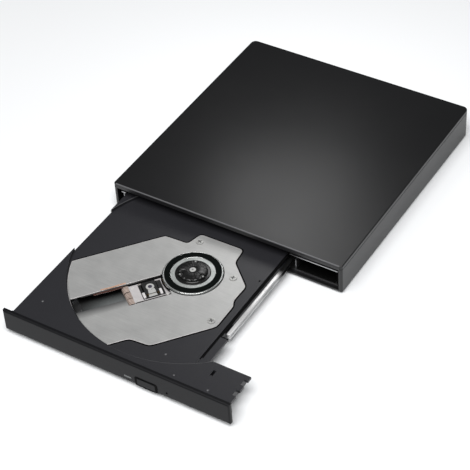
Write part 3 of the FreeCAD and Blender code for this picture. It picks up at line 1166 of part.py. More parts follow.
def laser_and_follower():
    laser = block("laser_block", (f"{pickup_x[1]} - laser_length", f"{pickup_x[1]} + laser_proud"),
                  laser_y,
                  (f"{pickup_bottom} + laser_lift", cover_top))
    finish("laser_diode", laser, on_sled=True)
    arm = block("follower_arm", (follower_x, f"{follower_x} + follower_length"),
                ("screw_shaft_side + follower_overlap", cover_y[0]), (pickup_top, cover_top))
    tooth_near = "screw_shaft_side + screw_shaft_radius + tooth_gap"
    tooth = block("follower_tooth",
                  (f"{follower_x} + tooth_inset", f"{follower_x} + follower_length - tooth_inset"),
                  (tooth_near, f"{tooth_near} + tooth_thickness"),
                  (f"{shaft_height} - tooth_drop", pickup_top))
    finish("screw_follower", join("follower_whole", arm, tooth), on_sled=True)


def lens_and_magnets():
    holder = block("holder_block", ("lens_start - holder_length / 2", "lens_start + holder_length / 2"),
                   ("-holder_width / 2", "holder_width / 2"), holder_z)
    lens_bore = rod("holder_bore", ("lens_start", "0", f"{holder_z[0]} - cut_over"),
                    "holder_height + 2 * cut_over", "lens_radius + shaft_clearance")
    finish("lens_holder", carve("holder_cut", holder, lens_bore), on_sled=True)
    lens_low = f"({holder_z[1]} - lens_height / 2)"
    lens = rod("lens_base", ("lens_start", "0", lens_low), "lens_height", "lens_radius")
    crown = rod("lens_crown_cone", ("lens_start", "0", f"{lens_low} + lens_height"), "lens_crown",
                "crown_radius", top_radius="crown_top")
    finish("objective_lens", join("lens_whole", lens, crown), on_sled=True)
    magnet_z = (f"{pickup_bottom} + cover_sheet", f"{holder_z[0]} - focus_travel - magnet_gap")
    magnets = [block(f"magnet_{i}", ("lens_start - magnet_half", "lens_start + magnet_half"), y, magnet_z)
               for i, y in enumerate((("-holder_width / 2", "-holder_width / 2 + magnet_width"),
                                      ("holder_width / 2 - magnet_width", "holder_width / 2")))]
    finish("focus_magnets", join("magnet_pair", *magnets), on_sled=True)


turntable()
pickup_body()
pickup_cover()
laser_and_follower()
lens_and_magnets()

# Pieces under the tray's front, and the controls in the bezel

board_front = f"({bezel_back} + tray_wall)"
control_board_y = (board_front, f"{board_front} + control_board_depth")
ejector_x = "(drive_centre + ejector_offset)"
ejector_z = f"({shield_top} + ejector_lift)"
ejector_tip = f"({wing_back} + ejector_reach)"
ejector_mouth = f"({wing_back} - ejector_wall)"
ejector_tail = f"({ejector_tip} - ejector_length)"
coil_x = ("drive_centre + latch_pivot_offset - coil_length - latch_thickness",
          "drive_centre + latch_pivot_offset - latch_thickness")


def under_tray():
    right_edge = "(drive_centre + latch_post_offset - latch_post_radius - rail_clearance)"
    finish("bottom_shield", block("shield_plate", (f"{left_rail_inner} + rail_clearance", right_edge),
                                  (bezel_back, tray_back), (shield_bottom, shield_top)))
    board = block("control_plate",
                  ("drive_centre + control_board_left",
                   "drive_centre + control_board_right"), control_board_y, control_board_z)
    finish("control_board", board)
    middle = "drive_centre + button_offset"
    switch = block("switch_body", (f"{middle} - switch_width / 2", f"{middle} + switch_width / 2"),
                   (board_front, f"{board_front} + switch_depth"), switch_z)
    finish("eject_switch", switch)
    lamp = block("lamp_body",
                 ("drive_centre + led_offset - lamp_width / 2",
                  "drive_centre + led_offset + lamp_width / 2"),
                 (f"{board_front} + lamp_setback", f"{board_front} + lamp_setback + lamp_depth"),
                 (f"{control_board_z[0]} - led_height", control_board_z[0]))
    finish("status_lamp", lamp)
    coil_y = f"({latch_pivot_y} + coil_setback)"
    coil = rod("coil_rod", (coil_x[0], coil_y, f"{tray_under} - coil_radius"), "coil_length",
               "coil_radius", "x")
    frame_back = block("coil_yoke", coil_x, (f"{coil_y} + yoke_front", f"{coil_y} + yoke_back"),
                       (shield_top, tray_under))
    finish("latch_solenoid", join("solenoid_whole", coil, frame_back))
    finish("ribbon_end",
           block("ribbon_end_strip", ribbon_x,
                 (f"{tray_back} - ribbon_width / 4", f"{tray_back} + tray_wall"),
                               (f"{shield_bottom} - ribbon_thickness", shield_bottom)))


def light_pipe():
    shaft = block("pipe_shaft", led_x, (bezel_front, f"{board_front} + pipe_reach"), led_z)
    finish("light_pipe", shaft)


def eject_button():
    face = soften("button_face",
                  block("button_cap", button_x,
                        (f"{bezel_front} - button_proud",
                         f"{bezel_front} - button_proud + button_cap"), button_z),
                  "button_round",
                  lambda edge: edge.CenterOfMass.y < number(f"{bezel_front} - button_proud / 2"))
    middle = "drive_centre + button_offset"
    stem = block("button_stem", (f"{middle} - stem_width / 2", f"{middle} + stem_width / 2"),
                 (f"{bezel_front} - button_proud + button_cap",
                  f"{board_front} - button_travel - shaft_clearance"),
                 (switch_z[0], f"{switch_z[0]} + stem_height"))
    finish("eject_button", join("button_whole", face, stem))


def latch_hook():
    z = (latch_bottom, f"{latch_bottom} + latch_thickness")
    eye = rod("latch_eye", (latch_pivot_x, latch_pivot_y, z[0]), "latch_thickness", "latch_eye")
    arm = block("latch_bar", (latch_pivot_x, "drive_centre + latch_post_offset + latch_post_radius / 2"),
                (f"{latch_pivot_y} - latch_thickness / 4", f"{latch_pivot_y} + latch_thickness"), z)
    tail = block("latch_tail", (f"{latch_pivot_x} - latch_arm", latch_pivot_x),
                 (f"{latch_pivot_y} - latch_thickness / 2", f"{latch_pivot_y} + latch_thickness / 2"), z)
    bore = rod("latch_bore", (latch_pivot_x, latch_pivot_y, f"{z[0]} - cut_over"),
               "latch_thickness + 2 * cut_over", "latch_pin + shaft_clearance")
    finish("latch_hook", carve("latch_cut", join("latch_whole", eye, arm, tail), bore))


def ejector():
    wall = "(ejector_radius + ejector_wall)"
    body = block("ejector_block", (f"{ejector_x} - {wall}", f"{ejector_x} + {wall}"),
                 (f"{ejector_tail} - ejector_travel - spring_length - ejector_wall", ejector_mouth),
                 (f"{ejector_z} - ejector_radius - ejector_wall", wing_under))
    bore = rod("ejector_bore", (ejector_x, f"{ejector_tail} - ejector_travel - spring_length", ejector_z),
               "ejector_length + ejector_travel + 2 * cut_over",
               "ejector_radius + shaft_clearance", "y")
    finish("ejector_housing", carve("ejector_housing_cut", body, bore))
    finish("ejector_pin",
           rod("ejector_rod", (ejector_x, ejector_tail, ejector_z), "ejector_length", "ejector_radius",
               "y"))
    spring_start = (ejector_x, f"{ejector_tail} - ejector_travel - spring_length", ejector_z)
    outside = rod("spring_outside", spring_start, "spring_length", "ejector_radius", "y")
    inside = rod("spring_inside", spring_start, "spring_length", "ejector_radius - spring_wire", "y")
    finish("ejector_spring", carve("spring_tube", outside, inside))


under_tray()
light_pipe()
eject_button()
latch_hook()
ejector()

# Every object has to be sound before anything is written.
document.recompute()
for thing in document.Objects:
    if "Invalid" in thing.State or "Error" in thing.State:
        raise RuntimeError(f"{thing.Name} failed: {thing.State}")
for thing in finished:
    if thing.Shape.isNull() or not thing.Shape.isValid():
        raise RuntimeError(f"{thing.Label} has no sound shape")
os.makedirs("parts", exist_ok=True)
for thing in finished:
    thing.Shape.exportStep(f"parts/{thing.Label}.step")
    box = thing.Shape.BoundBox
    print(f"{thing.Label}: {len(thing.Shape.Solids)} solids, {thing.Shape.Volume:.1f} cubic mm,",
          f"x {box.XMin:.1f} {box.XMax:.1f} y {box.YMin:.1f} {box.YMax:.1f} z {box.ZMin:.1f} {box.ZMax:.1f}")
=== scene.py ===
# %% [markdown]
# # A slim external disc drive with its tray open
# The drive is a flat black case on the table. Its tray has slid out on two steel rails, so the whole
# working heart shows: the dished bed for the disc, the silver plate, the spindle with its sprung hub,
# and the laser pickup in its slot. The solids with real sizes arrive as a fixed frame. This lesson
# dresses them: it gives every surface its finish, and adds the small shapes that the eye looks for.

# %% Load the fixed frame
import math

import bpy
import numpy as np
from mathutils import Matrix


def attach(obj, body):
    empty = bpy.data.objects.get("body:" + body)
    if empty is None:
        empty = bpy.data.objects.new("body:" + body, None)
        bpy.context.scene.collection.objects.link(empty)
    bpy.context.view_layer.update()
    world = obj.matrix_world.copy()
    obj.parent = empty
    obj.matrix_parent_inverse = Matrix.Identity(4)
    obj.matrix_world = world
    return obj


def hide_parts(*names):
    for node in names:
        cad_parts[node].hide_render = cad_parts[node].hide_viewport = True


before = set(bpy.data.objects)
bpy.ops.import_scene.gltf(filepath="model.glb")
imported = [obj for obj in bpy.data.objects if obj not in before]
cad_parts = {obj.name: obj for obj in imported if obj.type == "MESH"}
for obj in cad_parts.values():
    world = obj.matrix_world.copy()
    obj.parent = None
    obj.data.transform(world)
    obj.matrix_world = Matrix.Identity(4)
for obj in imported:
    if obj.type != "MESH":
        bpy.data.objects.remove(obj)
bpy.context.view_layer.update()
MM = 0.001

# %% [markdown]
# ## The camera
# A photograph fixes where its camera stood. Here the case's corners, the bezel and the round bed for
# the disc settle the angle and the distance: about 34 degrees to the right of the front, 42 degrees up,
# a long lens from nearly a metre away, turned a little. The camera's axes are worked out as three
# vectors and set as one matrix, which is safer than three Euler angles.

# %% Stand the camera where the photograph was taken
AZIMUTH, ELEVATION, TILT = (math.radians(angle) for angle in (33.81, 42.19, -3.73))
AIM = np.array((5.34, -67.41, 10.0)) * MM
AWAY = 862.95 * MM
FOCAL_PIXELS, FRAME_PIXELS = 1705.84, 470.0
CENTRE_PIXELS = (237.46, 234.79)
SENSOR_MM = 36.0


def camera_axes(azimuth, elevation, tilt):
    """Back points from the aim to the camera; right is level; up is square to both.
    The tilt turns right and up together about back."""
    back = np.array((math.sin(azimuth) * math.cos(elevation),
                     -math.cos(azimuth) * math.cos(elevation), math.sin(elevation)))
    right = np.cross((0.0, 0.0, 1.0), back)
    right /= np.linalg.norm(right)
    up = np.cross(back, right)
    turn_cos, turn_sin = math.cos(tilt), math.sin(tilt)
    return right * turn_cos + up * turn_sin, up * turn_cos - right * turn_sin, back


def stand(name, data, right, up, back, place):
    """A camera or lamp at a place, its own X, Y and Z along right, up and back."""
    piece, pose = bpy.data.objects.new(name, data), np.eye(4)
    pose[:3] = np.column_stack((right, up, back, place))
    piece.matrix_world = pose.T.tolist()
    bpy.context.scene.collection.objects.link(piece)
    return piece


right, up, back = camera_axes(AZIMUTH, ELEVATION, TILT)
lens = bpy.data.cameras.new("photo_camera")
lens.sensor_width = SENSOR_MM
lens.lens = FOCAL_PIXELS / FRAME_PIXELS * SENSOR_MM
lens.shift_x = (FRAME_PIXELS / 2 - CENTRE_PIXELS[0]) / FRAME_PIXELS
lens.shift_y = (CENTRE_PIXELS[1] - FRAME_PIXELS / 2) / FRAME_PIXELS
bpy.context.scene.camera = stand("photo_camera", lens, right, up, back, AIM + back * AWAY)
print("lens", round(lens.lens, 2), "mm at", np.round(AIM + back * AWAY, 3))

# %% [markdown]
# ## Writing materials as sums
# A material is a graph of nodes, and most of its nodes only do arithmetic. A small class wraps one
# socket, so that a mask can be written as `1 - grain * 0.4` in Python and the Math nodes appear by
# themselves. Colours are never sent through a Math node, because that turns them grey: they are
# mixed instead.

# %% A socket that can be added and multiplied
class Wire:
    """The output of a node. Arithmetic on it adds Math nodes to the same finish."""

    def __init__(self, finish, socket):
        self.finish, self.socket = finish, socket

    def math(self, operation, first, second):
        return self.finish.add("ShaderNodeMath", {"operation": operation}, {0: first, 1: second})

    def __add__(self, other): return self.math("ADD", self, other)
    def __radd__(self, other): return self.math("ADD", other, self)
    def __sub__(self, other): return self.math("SUBTRACT", self, other)
    def __rsub__(self, other): return self.math("SUBTRACT", other, self)
    def __mul__(self, other): return self.math("MULTIPLY", self, other)
    def __rmul__(self, other): return self.math("MULTIPLY", other, self)
    def above(self, edge): return self.math("GREATER_THAN", self, edge)
    def below(self, edge): return self.math("LESS_THAN", self, edge)
    def band(self, low, high): return self.above(low) * self.below(high)
    def repeat(self, step): return self.math("PINGPONG", self, step)


print("wires can be added, multiplied, compared and repeated")

# %% [markdown]
# Every finish starts as the standard shader. The same few moves (place, noise, ramp, mix, bump) then
# serve plastic, steel, rubber and glass alike.

# %% A material and the one method that adds its nodes
class Finish:
    """One material: its node tree, its Principled shader, and the moves that the finishes share."""

    def __init__(self, name, **constants):
        self.material = bpy.data.materials.new(name)
        self.material.use_nodes = True
        self.nodes = self.material.node_tree.nodes
        self.links = self.material.node_tree.links
        self.shader = next(node for node in self.nodes if node.type == "BSDF_PRINCIPLED")
        for socket, value in constants.items():
            self.feed(self.shader.inputs[socket.replace("_", " ")], value)

    def add(self, kind, settings=(), values=(), output=0):
        """Adds a node of this kind, sets its settings, then links or sets its inputs."""
        node = self.nodes.new(kind)
        for name, value in dict(settings).items():
            setattr(node, name, value)
        for name, value in dict(values).items():
            self.feed(node.inputs[name], value)
        return Wire(self, node.outputs[output])

    def feed(self, socket, value):
        """Links a wire to a socket, or sets a plain value on it."""
        if isinstance(value, Wire):
            self.links.new(value.socket, socket)
        elif socket.type == "RGBA":
            socket.default_value = (*value[:3], 1.0)
        else:
            socket.default_value = value

    def place(self, stretch=(1.0, 1.0, 1.0), turn=0.0, centre=(0.0, 0.0, 0.0)):
        """Object coordinates: moved so that centre is the origin, turned about Z, then stretched."""
        spot = self.add("ShaderNodeTexCoord", output="Object")
        if centre != (0.0, 0.0, 0.0):
            spot = self.add("ShaderNodeVectorMath", {"operation": "SUBTRACT"}, {0: spot, 1: centre})
        return self.add("ShaderNodeMapping", {},
                        {"Vector": spot, "Rotation": (0.0, 0.0, turn), "Scale": stretch})

    def noise(self, spot, size, detail=2.0, rough=0.5):
        """Noise whose lumps are about this many metres across."""
        return self.add("ShaderNodeTexNoise", {}, {"Vector": spot, "Scale": 1.0 / size,
                                                   "Detail": detail, "Roughness": rough}, "Fac")

    def axis(self, spot, letter):
        """One coordinate of a place."""
        return self.add("ShaderNodeSeparateXYZ", {}, {"Vector": spot}, letter)

    def ramp(self, wire, low, high):
        """0 below low, 1 above high, straight in between."""
        return self.add("ShaderNodeMapRange", {"clamp": True},
                        {"Value": wire, "From Min": low, "From Max": high})

    def mix(self, mask, first, second):
        """The first colour where the mask is 0, the second where it is 1."""
        return self.add("ShaderNodeMix", {"data_type": "RGBA"}, {0: mask, 6: first, 7: second}, 2)

    def bump(self, height, depth, under=None):
        """A bump whose height of 1 stands this many metres proud."""
        values = {"Height": height, "Distance": depth, "Strength": 1.0}
        if under is not None:
            values["Normal"] = under
        return self.add("ShaderNodeBump", {}, values)

    def wear(self, **wires):
        """Feeds the shader's sockets by their names."""
        for socket, value in wires.items():
            self.feed(self.shader.inputs[socket.replace("_", " ")], value)
        return self


def grey(tone):
    """A colour whose three parts are the same."""
    return tone, tone, tone


print("material helpers ready")

# %% [markdown]
# ## Moulded plastic
# The case, the bezel and the tray are injection moulded. Their steel moulds are spark-eroded, which
# leaves a fine even grain, finer than a millimetre. A flat grey would look like a drawing, so the
# finish has three scales: the grain as a bump, a slow change of gloss where hands have polished it,
# and a faint dust of lighter specks.

# %% Spark-eroded plastic
POLISHED_PATCH = 38 * MM


def moulded_plastic(name, dark, light, gloss, grain=0.35 * MM, depth=0.012 * MM, polish=0.08,
                    **constants):
    """Grain noise lifts the surface and tints it; slow noise moves the roughness about `gloss`."""
    finish = Finish(name, **constants)
    spot = finish.place()
    fine = finish.noise(spot, grain, 3.0, 0.6)
    slow = finish.noise(spot, POLISHED_PATCH, 2.0)
    specks = finish.ramp(finish.noise(spot, grain * 2.2, 1.0), 0.62, 0.78)
    colour = finish.mix(finish.ramp(fine, 0.3, 0.75), dark, light)
    colour = finish.mix(specks * 0.25, colour, [tone * 1.5 for tone in light])
    return finish.wear(Base_Color=colour, Normal=finish.bump(fine, depth),
                       Roughness=(slow - 0.5) * polish + (fine - 0.5) * 0.1 + gloss)


FINE_GRAIN = 0.2 * MM
case_black = moulded_plastic("case_black", (0.004, 0.004, 0.0045), (0.007, 0.007, 0.0075), 0.36)
bezel_black = moulded_plastic("bezel_black", (0.004, 0.004, 0.005), (0.008, 0.008, 0.009), 0.40,
                              0.28 * MM, Specular_IOR_Level=0.18)
tray_black = moulded_plastic("tray_black", (0.014, 0.014, 0.0165), (0.020, 0.020, 0.0235), 0.44, 0.3 * MM)
inner_black = moulded_plastic("inner_black", grey(0.010), grey(0.016), 0.38, FINE_GRAIN)
socket_black = moulded_plastic("socket_black", grey(0.012), grey(0.018), 0.3, FINE_GRAIN)
frame_black = moulded_plastic("frame_black", grey(0.006), grey(0.012), 0.5,
                              FINE_GRAIN, Specular_IOR_Level=0.25)
print("plastics:", case_black.material.name, bezel_black.material.name, tray_black.material.name)

# %% [markdown]
# ## Sheet steel
# The plate round the spindle is rolled steel: its grain runs one way as hair-fine streaks that catch
# the light unevenly. The chassis is zinc plated, with soft grey flakes. The rails and screws are
# plated bright.

# %% Rolled, plated and polished steel
STREAK, CLOUD, FLAKE = 0.25 * MM, 9 * MM, 1.6 * MM
# Painted shade and shadow: the grey where a sheet turns down, the black at the rails' shadowed end.
SHADE_GREY, SHADOW_BLACK = grey(0.15), grey(0.012)


def rolled_steel(name, dark, light, gloss, along=0.0, streak=(40.0, 1.0), depth=0.004 * MM,
                 flakes=0.0, metal=1.0, fold=None, shadow_span=None):
    """Noise stretched along the rolling direction gives the streaks; Voronoi cells give zinc flakes.
    Brushed metal scatters part of the light evenly, so `metal` may be less than one. Between the two
    heights of `fold` the colour fades to grey: painted shade where the sheet turns down. Past the two
    places along Y in the last argument the colour is black: a painted shadow."""
    finish = Finish(name, Metallic=metal)
    spot = finish.place(turn=along)
    lines = finish.noise(finish.place((streak[1] / streak[0], 1.0, 1.0), along), STREAK, 4.0, 0.65)
    cloud = finish.noise(spot, CLOUD, 3.0)
    colour = finish.mix(finish.ramp(lines * 0.6 + cloud * 0.4, 0.32, 0.68), dark, light)
    if flakes:
        cells = finish.add("ShaderNodeTexVoronoi", {}, {"Vector": spot, "Scale": 1.0 / FLAKE}, "Color")
        tone = finish.add("ShaderNodeSeparateColor", {}, {"Color": cells}, 0)
        colour = finish.mix(tone * flakes, colour, light)
    if fold:
        colour = finish.mix(finish.ramp(finish.axis(finish.place(), "Z"), *fold), SHADE_GREY, colour)
    if shadow_span:
        colour = finish.mix(finish.ramp(finish.axis(finish.place(), "Y"), *shadow_span), colour, SHADOW_BLACK)
    return finish.wear(Base_Color=colour, Normal=finish.bump(lines, depth),
                       Roughness=(lines - 0.5) * 0.12 + (cloud - 0.5) * 0.08 + gloss)


SLED_ANGLE = math.radians(230.5)
RAIL_ANGLE = math.pi / 2
# The plate fades to grey where it bends down beside the slot: painted shade.
plate_steel = rolled_steel("plate_steel", (0.42, 0.42, 0.415), (0.53, 0.53, 0.52), 0.42, SLED_ANGLE,
                           metal=0.5, fold=(8.75 * MM, 9.36 * MM))
cover_steel = rolled_steel("cover_steel", (0.58, 0.555, 0.555), (0.72, 0.69, 0.69), 0.40, SLED_ANGLE,
                           metal=0.4)
dish_steel = rolled_steel("dish_steel", (0.30, 0.32, 0.31), (0.62, 0.64, 0.63), 0.30,
                          streak=(2.0, 1.0), metal=0.5)
zinc_steel = rolled_steel("zinc_steel", (0.30, 0.30, 0.31), (0.46, 0.46, 0.47), 0.34,
                          streak=(6.0, 1.0), flakes=0.5)
bright_steel = rolled_steel("bright_steel", grey(0.60), (0.78, 0.78, 0.79), 0.16, RAIL_ANGLE)
can_steel = rolled_steel("can_steel", grey(0.42), (0.58, 0.58, 0.57), 0.30)
screw_steel = rolled_steel("screw_steel", (0.40, 0.40, 0.41), (0.55, 0.55, 0.56), 0.22)
print("steels:", plate_steel.material.name, zinc_steel.material.name)

# %% [markdown]
# ## Rubber, boards, copper and glass
# Small parts need finishes too, because someone will turn the case over. Rubber is dull, with a
# powdery surface.

# %% Rubber
def soft_rubber(name, tone, gloss=0.72, shine=0.5):
    """Powder shows as fine noise, and wear as slow noise that also moves the gloss."""
    finish = Finish(name, Specular_IOR_Level=shine)
    fine = finish.noise(finish.place(), 0.18 * MM, 3.0, 0.7)
    slow = finish.noise(finish.place(), 3.0 * MM)
    colour = finish.mix(fine * 0.6 + slow * 0.4, tone, [part * 1.9 for part in tone])
    return finish.wear(Base_Color=colour, Roughness=(slow - 0.5) * 0.2 + gloss,
                       Normal=finish.bump(fine, 0.015 * MM))


feet_rubber = soft_rubber("feet_rubber", grey(0.016))
ring_rubber = soft_rubber("ring_rubber", (0.0015, 0.0022, 0.002), 0.6, 0.05)
print("rubber finishes ready")

# %% [markdown]
# Boards and cables have a pattern that repeats. A wave that runs up and down (ping-pong) and is cut at
# a level draws evenly spaced lines: tracks on a board, conductors in a cable, turns of a coil.

# %% Boards, cables and coils
TRACK_CELL, PAD_CELL, CONDUCTOR_STEP, COIL_STEP = 4 * MM, 2.3 * MM, 0.5 * MM, 0.16 * MM


def circuit_board(name, lacquer, track):
    """Tracks are thin bands where ping-pong waves over blocky cells pass through the middle."""
    finish = Finish(name, IOR=1.5)
    spot = finish.place()
    cells = finish.add("ShaderNodeTexVoronoi", {"distance": "MANHATTAN"},
                       {"Vector": spot, "Scale": 1.0 / TRACK_CELL})
    lines = (cells * 9.0).repeat(1.0).band(0.42, 0.58)
    pads = finish.add("ShaderNodeTexVoronoi", {}, {"Vector": spot, "Scale": 1.0 / PAD_CELL}).below(0.16)
    colour = finish.mix(lines, lacquer, track)
    colour = finish.mix(pads, colour, (0.45, 0.40, 0.25))
    return finish.wear(Base_Color=colour, Roughness=pads * 0.1 + 0.3, Metallic=pads * 0.8,
                       Normal=finish.bump(lines + pads, 0.03 * MM))


def flat_cable(name):
    """Conductors are the upper half of a ping-pong wave across the cable."""
    finish = Finish(name)
    across = finish.axis(finish.place(), "X")
    wires = (across * (1.0 / CONDUCTOR_STEP)).repeat(1.0).above(0.5)
    colour = finish.mix(wires, (0.62, 0.60, 0.56), (0.42, 0.38, 0.33))
    return finish.wear(Base_Color=colour, Roughness=wires * 0.12 + 0.35,
                       Normal=finish.bump(wires, 0.03 * MM))


def wound_copper(name):
    """Each turn of wire is one ping-pong wave over the height."""
    finish = Finish(name, Metallic=1.0)
    turns = (finish.axis(finish.place(), "Z") * (1.0 / COIL_STEP)).repeat(1.0)
    return finish.wear(Base_Color=finish.mix(turns, (0.35, 0.16, 0.07), (0.72, 0.38, 0.2)),
                       Roughness=turns * 0.1 + 0.28, Normal=finish.bump(turns, 0.05 * MM))


board_green = circuit_board("board_green", (0.012, 0.07, 0.03), (0.03, 0.15, 0.06))
ribbon_film = flat_cable("ribbon_film")
coil_copper = wound_copper("coil_copper")
chip_black = moulded_plastic("chip_black", grey(0.012), grey(0.02), 0.5, 0.15 * MM)
print("board, cable, coil and chip finishes ready")

# %% [markdown]
# The lamp is clear plastic that lets some light through, with a faint cloud in it. The lens is coated
# glass: very smooth, nearly black, with a violet tint from its coating.

# %% Lamp and lens
def clear_lamp(name):
    """Clouded clear plastic."""
    finish = Finish(name, Transmission_Weight=0.35, IOR=1.49)
    cloud = finish.noise(finish.place(), 1.2 * MM)
    return finish.wear(Base_Color=finish.mix(cloud, (0.15, 0.16, 0.16), (0.26, 0.27, 0.27)),
                       Roughness=cloud * 0.1 + 0.2)


def coated_glass(name):
    """Dark glass under a clear coat, its tint moved by slow noise."""
    finish = Finish(name, IOR=1.6, Coat_Weight=0.8)
    tint = finish.noise(finish.place(), 1.5 * MM)
    return finish.wear(Base_Color=finish.mix(tint, (0.02, 0.02, 0.03), (0.07, 0.06, 0.09)),
                       Roughness=tint * 0.03 + 0.04)


lamp_clear = clear_lamp("lamp_clear")
lens_glass = coated_glass("lens_glass")
print("clear finishes ready")

# %% [markdown]
# ## Giving each solid its finish
# A table from finish to solids keeps the choice in one place, and a check tells if any was forgotten.

# %% Dress the solids
DRESS = {
    case_black: ("base_shell", "top_cover"),
    bezel_black: ("front_bezel", "eject_button"),
    tray_black: ("tray_frame",),
    inner_black: ("left_guide", "right_guide", "latch_hook", "ejector_housing", "eject_switch",
                  "ribbon_socket", "screw_follower", "pickup_body", "lens_holder", "turntable_hub",
                  "claw_1", "claw_2", "claw_3"),
    socket_black: ("power_jack", "drive_connector"),
    plate_steel: ("cover_plate",),
    cover_steel: ("pickup_cover",),
    dish_steel: ("turntable",),
    zinc_steel: ("drive_tub", "drive_lid", "bottom_shield"),
    frame_black: ("traverse_frame", "focus_magnets"),
    bright_steel: ("left_rail", "right_rail", "main_guide_shaft", "idle_guide_shaft", "lead_screw",
                   "spindle_shaft", "ejector_pin", "latch_post"),
    can_steel: ("usb_socket", "spindle_motor", "stepper_motor"),
    screw_steel: ("case_screws", "lid_screws", "plate_screws", "damper_screws", "ejector_spring"),
    feet_rubber: ("rubber_feet", "damper_bushes"),
    ring_rubber: ("friction_ring",),
    board_green: ("bridge_board", "main_board", "control_board"),
    chip_black: ("bridge_chips", "main_chips"),
    ribbon_film: ("ribbon_cable", "ribbon_end"),
    lamp_clear: ("light_pipe", "status_lamp"),
    coil_copper: ("latch_solenoid", "laser_diode"),
    lens_glass: ("objective_lens",),
}
for finish, names in DRESS.items():
    for name in names:
        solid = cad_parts[name]
        solid.data.materials.clear()
        solid.data.materials.append(finish.material)
bare = set(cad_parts) - {name for names in DRESS.values() for name in names}
print("solids without a finish:", sorted(bare))

# %% [markdown]
# ## New pieces as grids of points
# The solids carry the sizes, but many small forms are missing: a bead on an edge, a rolled rail, a
# curl of flat cable, the head of a screw. Each of them is a grid of points worked out as one array, in
# millimetres. The pickup runs along a slanted line from the spindle, so places on the silver plate are
# told along that line and across it.

# %% The spindle and the sled's directions
SPINDLE = np.array((0.5, -101.8, 0.0))
ALONG = np.array((math.cos(SLED_ANGLE), math.sin(SLED_ANGLE), 0.0))
ACROSS = np.array((-math.sin(SLED_ANGLE), math.cos(SLED_ANGLE), 0.0))
UPWARD = np.array((0.0, 0.0, 1.0))


def on_sled(points):
    """Places along and across the sled's direction and up, about the spindle, as places in the scene."""
    return SPINDLE + np.asarray(points, float) @ np.stack((ALONG, ACROSS, UPWARD))


def unit(vectors):
    """Each vector over its own length."""
    return vectors / np.linalg.norm(vectors, axis=-1, keepdims=True)


def beside(axis):
    """A direction square to the axis."""
    return unit(np.cross(axis, (0.0, 1.0, 0.0) if abs(axis[1]) < 0.9 else (1.0, 0.0, 0.0)))


print("the spindle stands at", SPINDLE, "and the sled runs along", np.round(ALONG, 3))

# %% [markdown]
# Two ways of filling a grid serve nearly every round part. A turned form is a profile of radius and
# height times a circle of angles, like work on a lathe. A swept form is a profile carried along a path,
# like a bead of sealant.

# %% Turned and swept grids
def circle(radius, count=10):
    """Radius times (cos a, sin a)."""
    angle = np.linspace(0.0, 2 * math.pi, count, endpoint=False)
    return radius * np.stack((np.cos(angle), np.sin(angle)), -1)


def turned(profile, centre, axis=UPWARD, count=48):
    """Centre + height * axis + radius * (side * cos a + across * sin a), for each profile point."""
    profile, axis = np.asarray(profile, float), np.asarray(axis, float)
    side = beside(axis)
    angle = np.linspace(0.0, 2 * math.pi, count, endpoint=False)[:, None]
    spoke = side * np.cos(angle) + np.cross(axis, side) * np.sin(angle)
    return np.asarray(centre) + profile[:, None, 1:] * axis + profile[:, None, :1] * spoke


def swept(path, profile, loop=False):
    """Path + across * side + up * rise, where side is level and square to the path, and rise to both."""
    path, profile = np.asarray(path, float), np.asarray(profile, float)
    run = np.roll(path, -1, 0) - np.roll(path, 1, 0) if loop else np.gradient(path, axis=0)
    side = unit(np.cross(run, UPWARD))
    rise = unit(np.cross(side, run))
    return path[:, None] + side[:, None] * profile[:, :1] + rise[:, None] * profile[:, 1:]


def ring(radius, height, bead):
    """A round bead swept about the spindle."""
    return swept(SPINDLE + UPWARD * height + np.pad(circle(radius, 120), ((0, 0), (0, 1))),
                 circle(bead), loop=True)


print("a turned ring of", turned(((1.0, 0.0), (1.0, 1.0)), SPINDLE).shape, "numbers")

# %% [markdown]
# Flat parts start from an outline. Its corners are rounded by short curves, and a pad is the outline
# drawn in a little as it rises, which rounds the upper edge.

# %% Rounded outlines and pads
def rounded(corners, reach, steps=6):
    """Each corner becomes the curve (1-t)^2 a + 2t(1-t) corner + t^2 b, with a and b `reach` away."""
    corners = np.asarray(corners, float)
    first, last = (corners + unit(other - corners) * np.minimum(
        reach, 0.45 * np.linalg.norm(other - corners, axis=1, keepdims=True))
        for other in (np.roll(corners, 1, 0), np.roll(corners, -1, 0)))
    t = np.linspace(0.0, 1.0, steps)[None, :, None]
    curve = (1 - t) ** 2 * first[:, None] + 2 * t * (1 - t) * corners[:, None] + t ** 2 * last[:, None]
    return curve.reshape(-1, corners.shape[1])


def oblong(low, high, reach, steps=5):
    """The outline of a rectangle between two corners, its corners rounded."""
    (x, y), (far_x, far_y) = low, high
    return rounded(((x, y), (far_x, y), (far_x, far_y), (x, far_y)), reach, steps)


def raised(flat, height):
    """A flat outline at one height."""
    return np.column_stack((flat, np.full(len(flat), height)))


def pad(outline, low, high, edge, rings=5):
    """The outline goes straight up, draws in over a quarter circle, then closes over the top."""
    outline = np.asarray(outline, float)
    middle = (outline.max(0) + outline.min(0)) / 2
    half = (outline.max(0) - outline.min(0)) / 2
    turn = np.linspace(0.0, math.pi / 2, rings)[:, None]
    inner = np.array((0.7, 0.35, 0.05))[:, None]
    scale = np.vstack((np.ones((1, 2)), 1 - edge * (1 - np.cos(turn)) / half, (1 - edge / half) * inner))
    heights = np.concatenate(((low,), (high - edge + edge * np.sin(turn))[:, 0], np.full(3, high)))
    flat = middle + (outline - middle) * scale[:, None]
    return np.concatenate((flat, np.broadcast_to(heights[:, None, None], (*flat.shape[:2], 1))), -1)


def bar(low, high, edge=0.12):
    """An upright pad between two corners, its edges rounded."""
    return pad(oblong(low[:2], high[:2], edge * 2), low[2], high[2], edge)


print("an oblong has", len(oblong((0, 0), (1, 1), 0.1)), "points")

# %% [markdown]
# One function turns any grids into a mesh. It joins neighbours into faces, turns them outwards, and
# tells which body the piece rides on and which material slot it belongs to.

